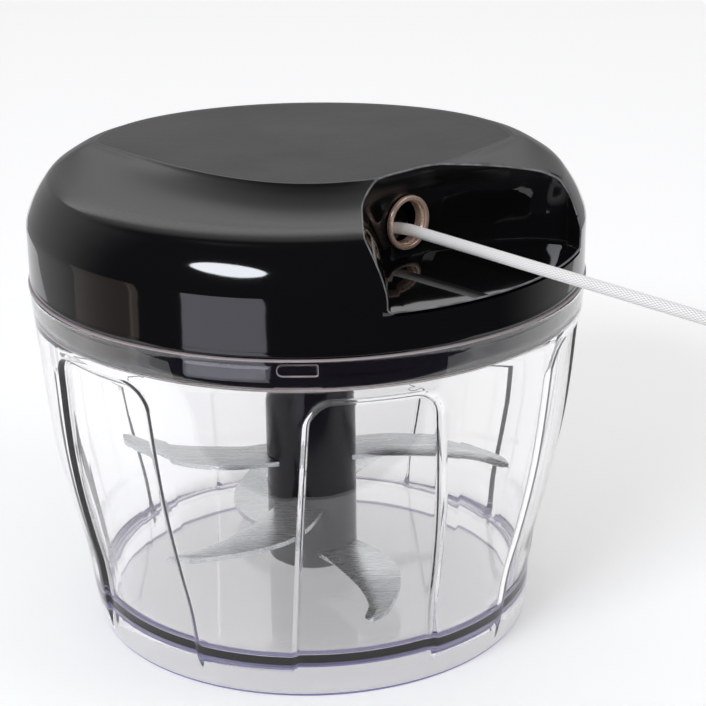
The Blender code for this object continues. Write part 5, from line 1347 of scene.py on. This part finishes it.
room = oblong(-KNOT_ROOM, KNOT_ROOM, -KNOT_ROOM, KNOT_ROOM)
body_bores = [prism("knot_room", room, KNOT_ROOM_LOW, CORD_HEIGHT + KNOT_ROOM, satin_abs,
                    turned(PULL_ANGLE, knot_place.x, knot_place.y)),
              along_pull("cord_hole", CORD_RADIUS + CORD_CLEARANCE, HANDLE_BACK - HOLE_OUT,
                         HANDLE_BACK + HOLE_IN, CORD_HEIGHT, eyelet_shift() + CORD_SHIFT, satin_abs)]
cover_bores = []
for k, (x, y, z) in enumerate(handle_spots):
    home = (x - PULL.x * REST_PULL, y - PULL.y * REST_PULL)
    thin, wide = disc(PILOT, *home), disc(HEAD_ROOM, *home)
    body_bores.append(prism(f"pilot_{k}", thin, KNOT_ROOM_LOW, z + PILOT_LENGTH, satin_abs))
    cover_bores.append(prism(f"head_room_{k}", wide, BORE_LOW, z + HEAD_ROOM_TOP, satin_abs))
    cover_bores.append(prism(f"through_{k}", thin, BORE_LOW, BORE_HIGH, satin_abs))
handle_top = handle_half("handle_upper_half", HANDLE_SPLIT + SPLIT_GAP, PAST_TOP, body_bores)
handle_low = handle_half("handle_lower_half", RECESS_FLOOR + HANDLE_GAP, HANDLE_SPLIT - SPLIT_GAP,
                         cover_bores)
for piece, node in ((handle_top, "handle_body"), (handle_low, "handle_cover")):
    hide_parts(node)
    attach(piece, "handle")
    print(piece.name, len(piece.data.polygons), "faces")


# %% [markdown]
# ## The braided cord
#
# A tube is swept along the route. Its radius rises by 5% at each crown of the braid, where two sets of yarns
# cross, and both stretches share one count along the cord, so the braid runs on through the eyelet.

# %% Braid a tube along a route
AROUND, PACE, CROWN_SHARE = 64, 0.0002, 0.05


def braided(name, route, start_length):
    """A braided tube along points, with its distance count starting at start_length."""
    lengths = lengths_along(route)
    count = max(int(lengths[-1] / PACE), 2)
    stations = np.linspace(0.0, lengths[-1], count + 1)
    coords = np.array([[p.x, p.y, p.z] for p in route])
    centres = np.stack([np.interp(stations, lengths, coords[:, k]) for k in range(3)], axis=1)
    turns = [2.0 * math.pi * i / AROUND for i in range(AROUND)]
    rings, chart = [], []
    for number, centre in enumerate(centres):
        tangent = Vector(centres[min(number + 1, count)] - centres[max(number - 1, 0)]).normalized()
        side = tangent.cross(Vector((0.0, 0.0, 1.0))).normalized()
        lift = side.cross(tangent)
        along = (start_length + stations[number]) / YARN_PITCH
        ring = []
        for i, turn in enumerate(turns):
            lean, back = YARNS * i / AROUND + along, YARNS * i / AROUND - along
            crown = abs(math.cos(math.pi * lean)) * abs(math.cos(math.pi * back))
            radius = CORD_RADIUS * (1.0 - CROWN_SHARE + CROWN_SHARE * crown)
            ring.append(Vector(centre) + side * (radius * math.cos(turn)) + lift * (radius * math.sin(turn)))
        rings.append(ring)
        chart.append(along)
    made = skin(name, rings, [braid], sharp=70.0)
    layer = made.data.uv_layers.new(name="braid")
    for face in made.data.polygons:
        columns = [v % AROUND for v in face.vertices]
        wraps = max(columns) - min(columns) > AROUND / 2
        for loop, vertex, column in zip(face.loop_indices, face.vertices, columns):
            column = column + AROUND if wraps and column < AROUND / 2 else column
            layer.data[loop].uv = (YARNS * column / AROUND, chart[vertex // AROUND])
    return made


inner_cord = braided("cord_behind_eyelet", inner_route, -lengths_along(inner_route)[-1])
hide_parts("cord_inner_run")
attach(inner_cord, "lid")

pull_cord = braided("braided_pull_cord", free_route, 0.0)
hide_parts("pull_cord")
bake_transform(pull_cord)
print("cord:", len(pull_cord.data.polygons), "faces")

# %% [markdown]
# ## The pieces that stay as they are
#
# Inside the closed lid the CAD solids are fine as they stand, and only need their real finishes: acetal for
# the reel, its cover and the spring's arbor, and steel for the spring and the axle.

# %% Finish the hidden pieces
HIDDEN = {"cord_reel": acetal, "spring_cover": acetal, "spring_arbor": acetal, "recoil_spring": bright_steel,
          "reel_axle": bright_steel, "cord_winding": braid, "cord_knot": braid}
for name, look in HIDDEN.items():
    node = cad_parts[name]
    for slot in node.material_slots:
        slot.material = look
print("finished from the CAD model:", list(HIDDEN))

# %% [markdown]
# ## Stage and light
#
# The floor is one pale sheet of paper on a table, which ends just in front of the object. Behind and below
# the object it is white to the camera, to reflections and through the clear plastic, and it takes the
# object's soft shadow. Glossy black plastic shows what is around it more than what shines on it. Its side
# looks down past the table's front edge into a dark room, which is what keeps the side black.

# %% Floor
SHEET_FRONT, SHEET_BACK, SHEET_SIDE = -0.13, 1.4, 0.25
GLOW, GLOW_THROUGH_PLASTIC = 0.19, 0.11
paper = finish("matt_white_paper", "#F4F4F4", Roughness=0.9, Specular_IOR_Level=0.0)
tree = paper.node_tree


def ray_kinds(tree):
    """What kind of light path is looking, each as 0 or 1, and how many turns it has taken."""
    path = add(tree, "ShaderNodeLightPath").outputs
    return {"camera": path["Is Camera Ray"], "gloss": path["Is Glossy Ray"],
            "clear": path["Is Transmission Ray"], "gloss depth": path["Glossy Depth"],
            "matt depth": path["Diffuse Depth"]}


seen = work_out(tree, ray_kinds(tree), [
    ("straight or gloss", "MAXIMUM", "camera", "gloss"),
    ("seen", "MAXIMUM", "straight or gloss", "clear"),
    ("glow", "MULTIPLY", "seen", GLOW),
    ("strength", "MULTIPLY_ADD", "clear", GLOW_THROUGH_PLASTIC, "glow")])
glow = add(tree, "ShaderNodeEmission", links={"Strength": seen["strength"]})
both = add(tree, "ShaderNodeAddShader", links={0: tree.nodes["Principled BSDF"], 1: glow})
tree.links.new(both.outputs[0], tree.nodes["Material Output"].inputs["Surface"])
corners = [(x, y, 0.0) for x, y in oblong(-SHEET_SIDE, SHEET_SIDE, SHEET_FRONT, SHEET_BACK)]
floor = surface("paper_floor", corners, [(0, 1, 2, 3)], [paper], sharp=60.0)
print(f"sheet: {SHEET_SIDE * 2.0:.2f} by {SHEET_BACK - SHEET_FRONT:.2f} m")

# %% [markdown]
# The world does three jobs. To the camera it is plain white. To reflections and through the plastic it is
# the studio: pale behind the object and dark in front. A ray that only passes through the plastic finds it
# pale all round. For diffuse light it is an even, plain level. Its colours are strengths of light, so they
# are written as linear values. Lamps can't shine through the plastic here, so light that a matt surface
# gathers through it is set fuller.

# %% World
world = bpy.data.worlds.new("studio")
bpy.context.scene.world = world
world.use_nodes = True
tree = world.node_tree
axes = add(tree, "ShaderNodeSeparateXYZ", links={0: add(tree, "ShaderNodeTexCoord").outputs["Generated"]})
# A mix of colours takes its share at input 0 and the colours at 6 and 7, and gives the result at output 2.
MIX, COLOURS = "ShaderNodeMix", {"data_type": "RGBA"}


def picture(front, back, low, high):
    """A colour that turns from one in front of the object to another behind it."""
    limits = {"From Min": low, "From Max": high, "interpolation_type": "SMOOTHSTEP"}
    share = add(tree, "ShaderNodeMapRange", limits, {"Value": axes.outputs["Y"]})
    return add(tree, MIX, COLOURS, {0: share, 6: front, 7: back}).outputs[2]


def grey(level):
    """A grey of this strength."""
    return (level, level, level, 1.0)


DARK_ROOM, DARK_ROOM_IN_PLASTIC = (0.030, 0.030, 0.036, 1.0), (0.058, 0.050, 0.084, 1.0)
STUDIO_FRONT, STUDIO_BACK = -0.55, 0.30
kinds = work_out(tree, ray_kinds(tree), [
    ("reflected", "MINIMUM", "gloss depth", 1.0),
    ("after matt", "MINIMUM", "matt depth", 1.0),
    ("before matt", "SUBTRACT", 1.0, "after matt"),
    ("gloss or clear", "MAXIMUM", "gloss", "clear"),
    ("direct", "MULTIPLY", "before matt", "gloss or clear")])
in_gloss = picture(DARK_ROOM, grey(0.44), -0.15, 0.55)
pale_round = picture(grey(0.80), grey(0.95), STUDIO_FRONT, STUDIO_BACK)
dark_front = picture(DARK_ROOM_IN_PLASTIC, grey(0.95), STUDIO_FRONT, STUDIO_BACK)
in_plastic = add(tree, MIX, COLOURS, {0: kinds["reflected"], 6: pale_round, 7: dark_front}).outputs[2]
sharp_view = add(tree, MIX, COLOURS, {0: kinds["clear"], 6: in_gloss, 7: in_plastic}).outputs[2]
plain = add(tree, MIX, COLOURS, {0: kinds["clear"], 6: grey(0.60), 7: grey(1.35)}).outputs[2]
lit = add(tree, MIX, COLOURS, {0: kinds["direct"], 6: plain, 7: sharp_view}).outputs[2]
shown = add(tree, MIX, COLOURS, {0: kinds["camera"], 6: lit, 7: grey(1.0)}).outputs[2]
tree.links.new(shown, tree.nodes["Background"].inputs["Color"])
print("world:", len(tree.nodes), "nodes")

# %% [markdown]
# Each lamp is placed by what it does in the lid. The key's image is the long highlight on the front of the
# shoulder. The back softbox gives the flank its soft band. The low window, below the table's edge, gives the
# side its grey upright strip. A lamp's power follows from its brightness and its area.


# %% Lamps
LAMP_TARGET = Vector((0.0, -0.03, 0.10))


def softbox(name, azimuth, elevation, distance, size, brightness, shape="RECTANGLE", colour="#FFFFFF"):
    """A lamp seen from the lid at an azimuth from the front and an elevation, in degrees."""
    a, e = math.radians(azimuth), math.radians(elevation)
    way = Vector((math.sin(a) * math.cos(e), -math.cos(a) * math.cos(e), math.sin(e)))
    lamp = bpy.data.lights.new(name, "AREA")
    lamp.shape, lamp.size, lamp.size_y = shape, size[0], size[1]
    lamp.color = linear(colour)[:3]
    lamp.energy = brightness * math.pi * size[0] * size[1] * (math.pi / 4 if shape == "ELLIPSE" else 1.0)
    towards = way.to_track_quat("Z", "Y").to_matrix().to_4x4()
    link(name, lamp).matrix_world = Matrix.Translation(LAMP_TARGET + way * distance) @ towards


softbox("key_softbox", -35, 34, 1.2, (0.62, 0.24), 20.0, "ELLIPSE", "#F4F8FF")
softbox("back_softbox", 180, 34.5, 1.3, (1.9, 0.26), 1.15)
softbox("right_fill", 70, 40, 1.2, (0.5, 0.5), 2.0)
softbox("low_window", -34, -19, 1.0, (0.58, 0.34), 1.9, colour="#F1F1FF")
softbox("low_left_card", -90, -18, 0.9, (0.50, 0.40), 0.30, colour="#F2DDCC")
softbox("low_left_strip", -73, -18, 0.9, (0.06, 0.34), 0.55, colour="#FFE9D8")
bpy.context.scene.view_settings.view_transform = "Standard"
print("lamps:", len(bpy.data.lights))
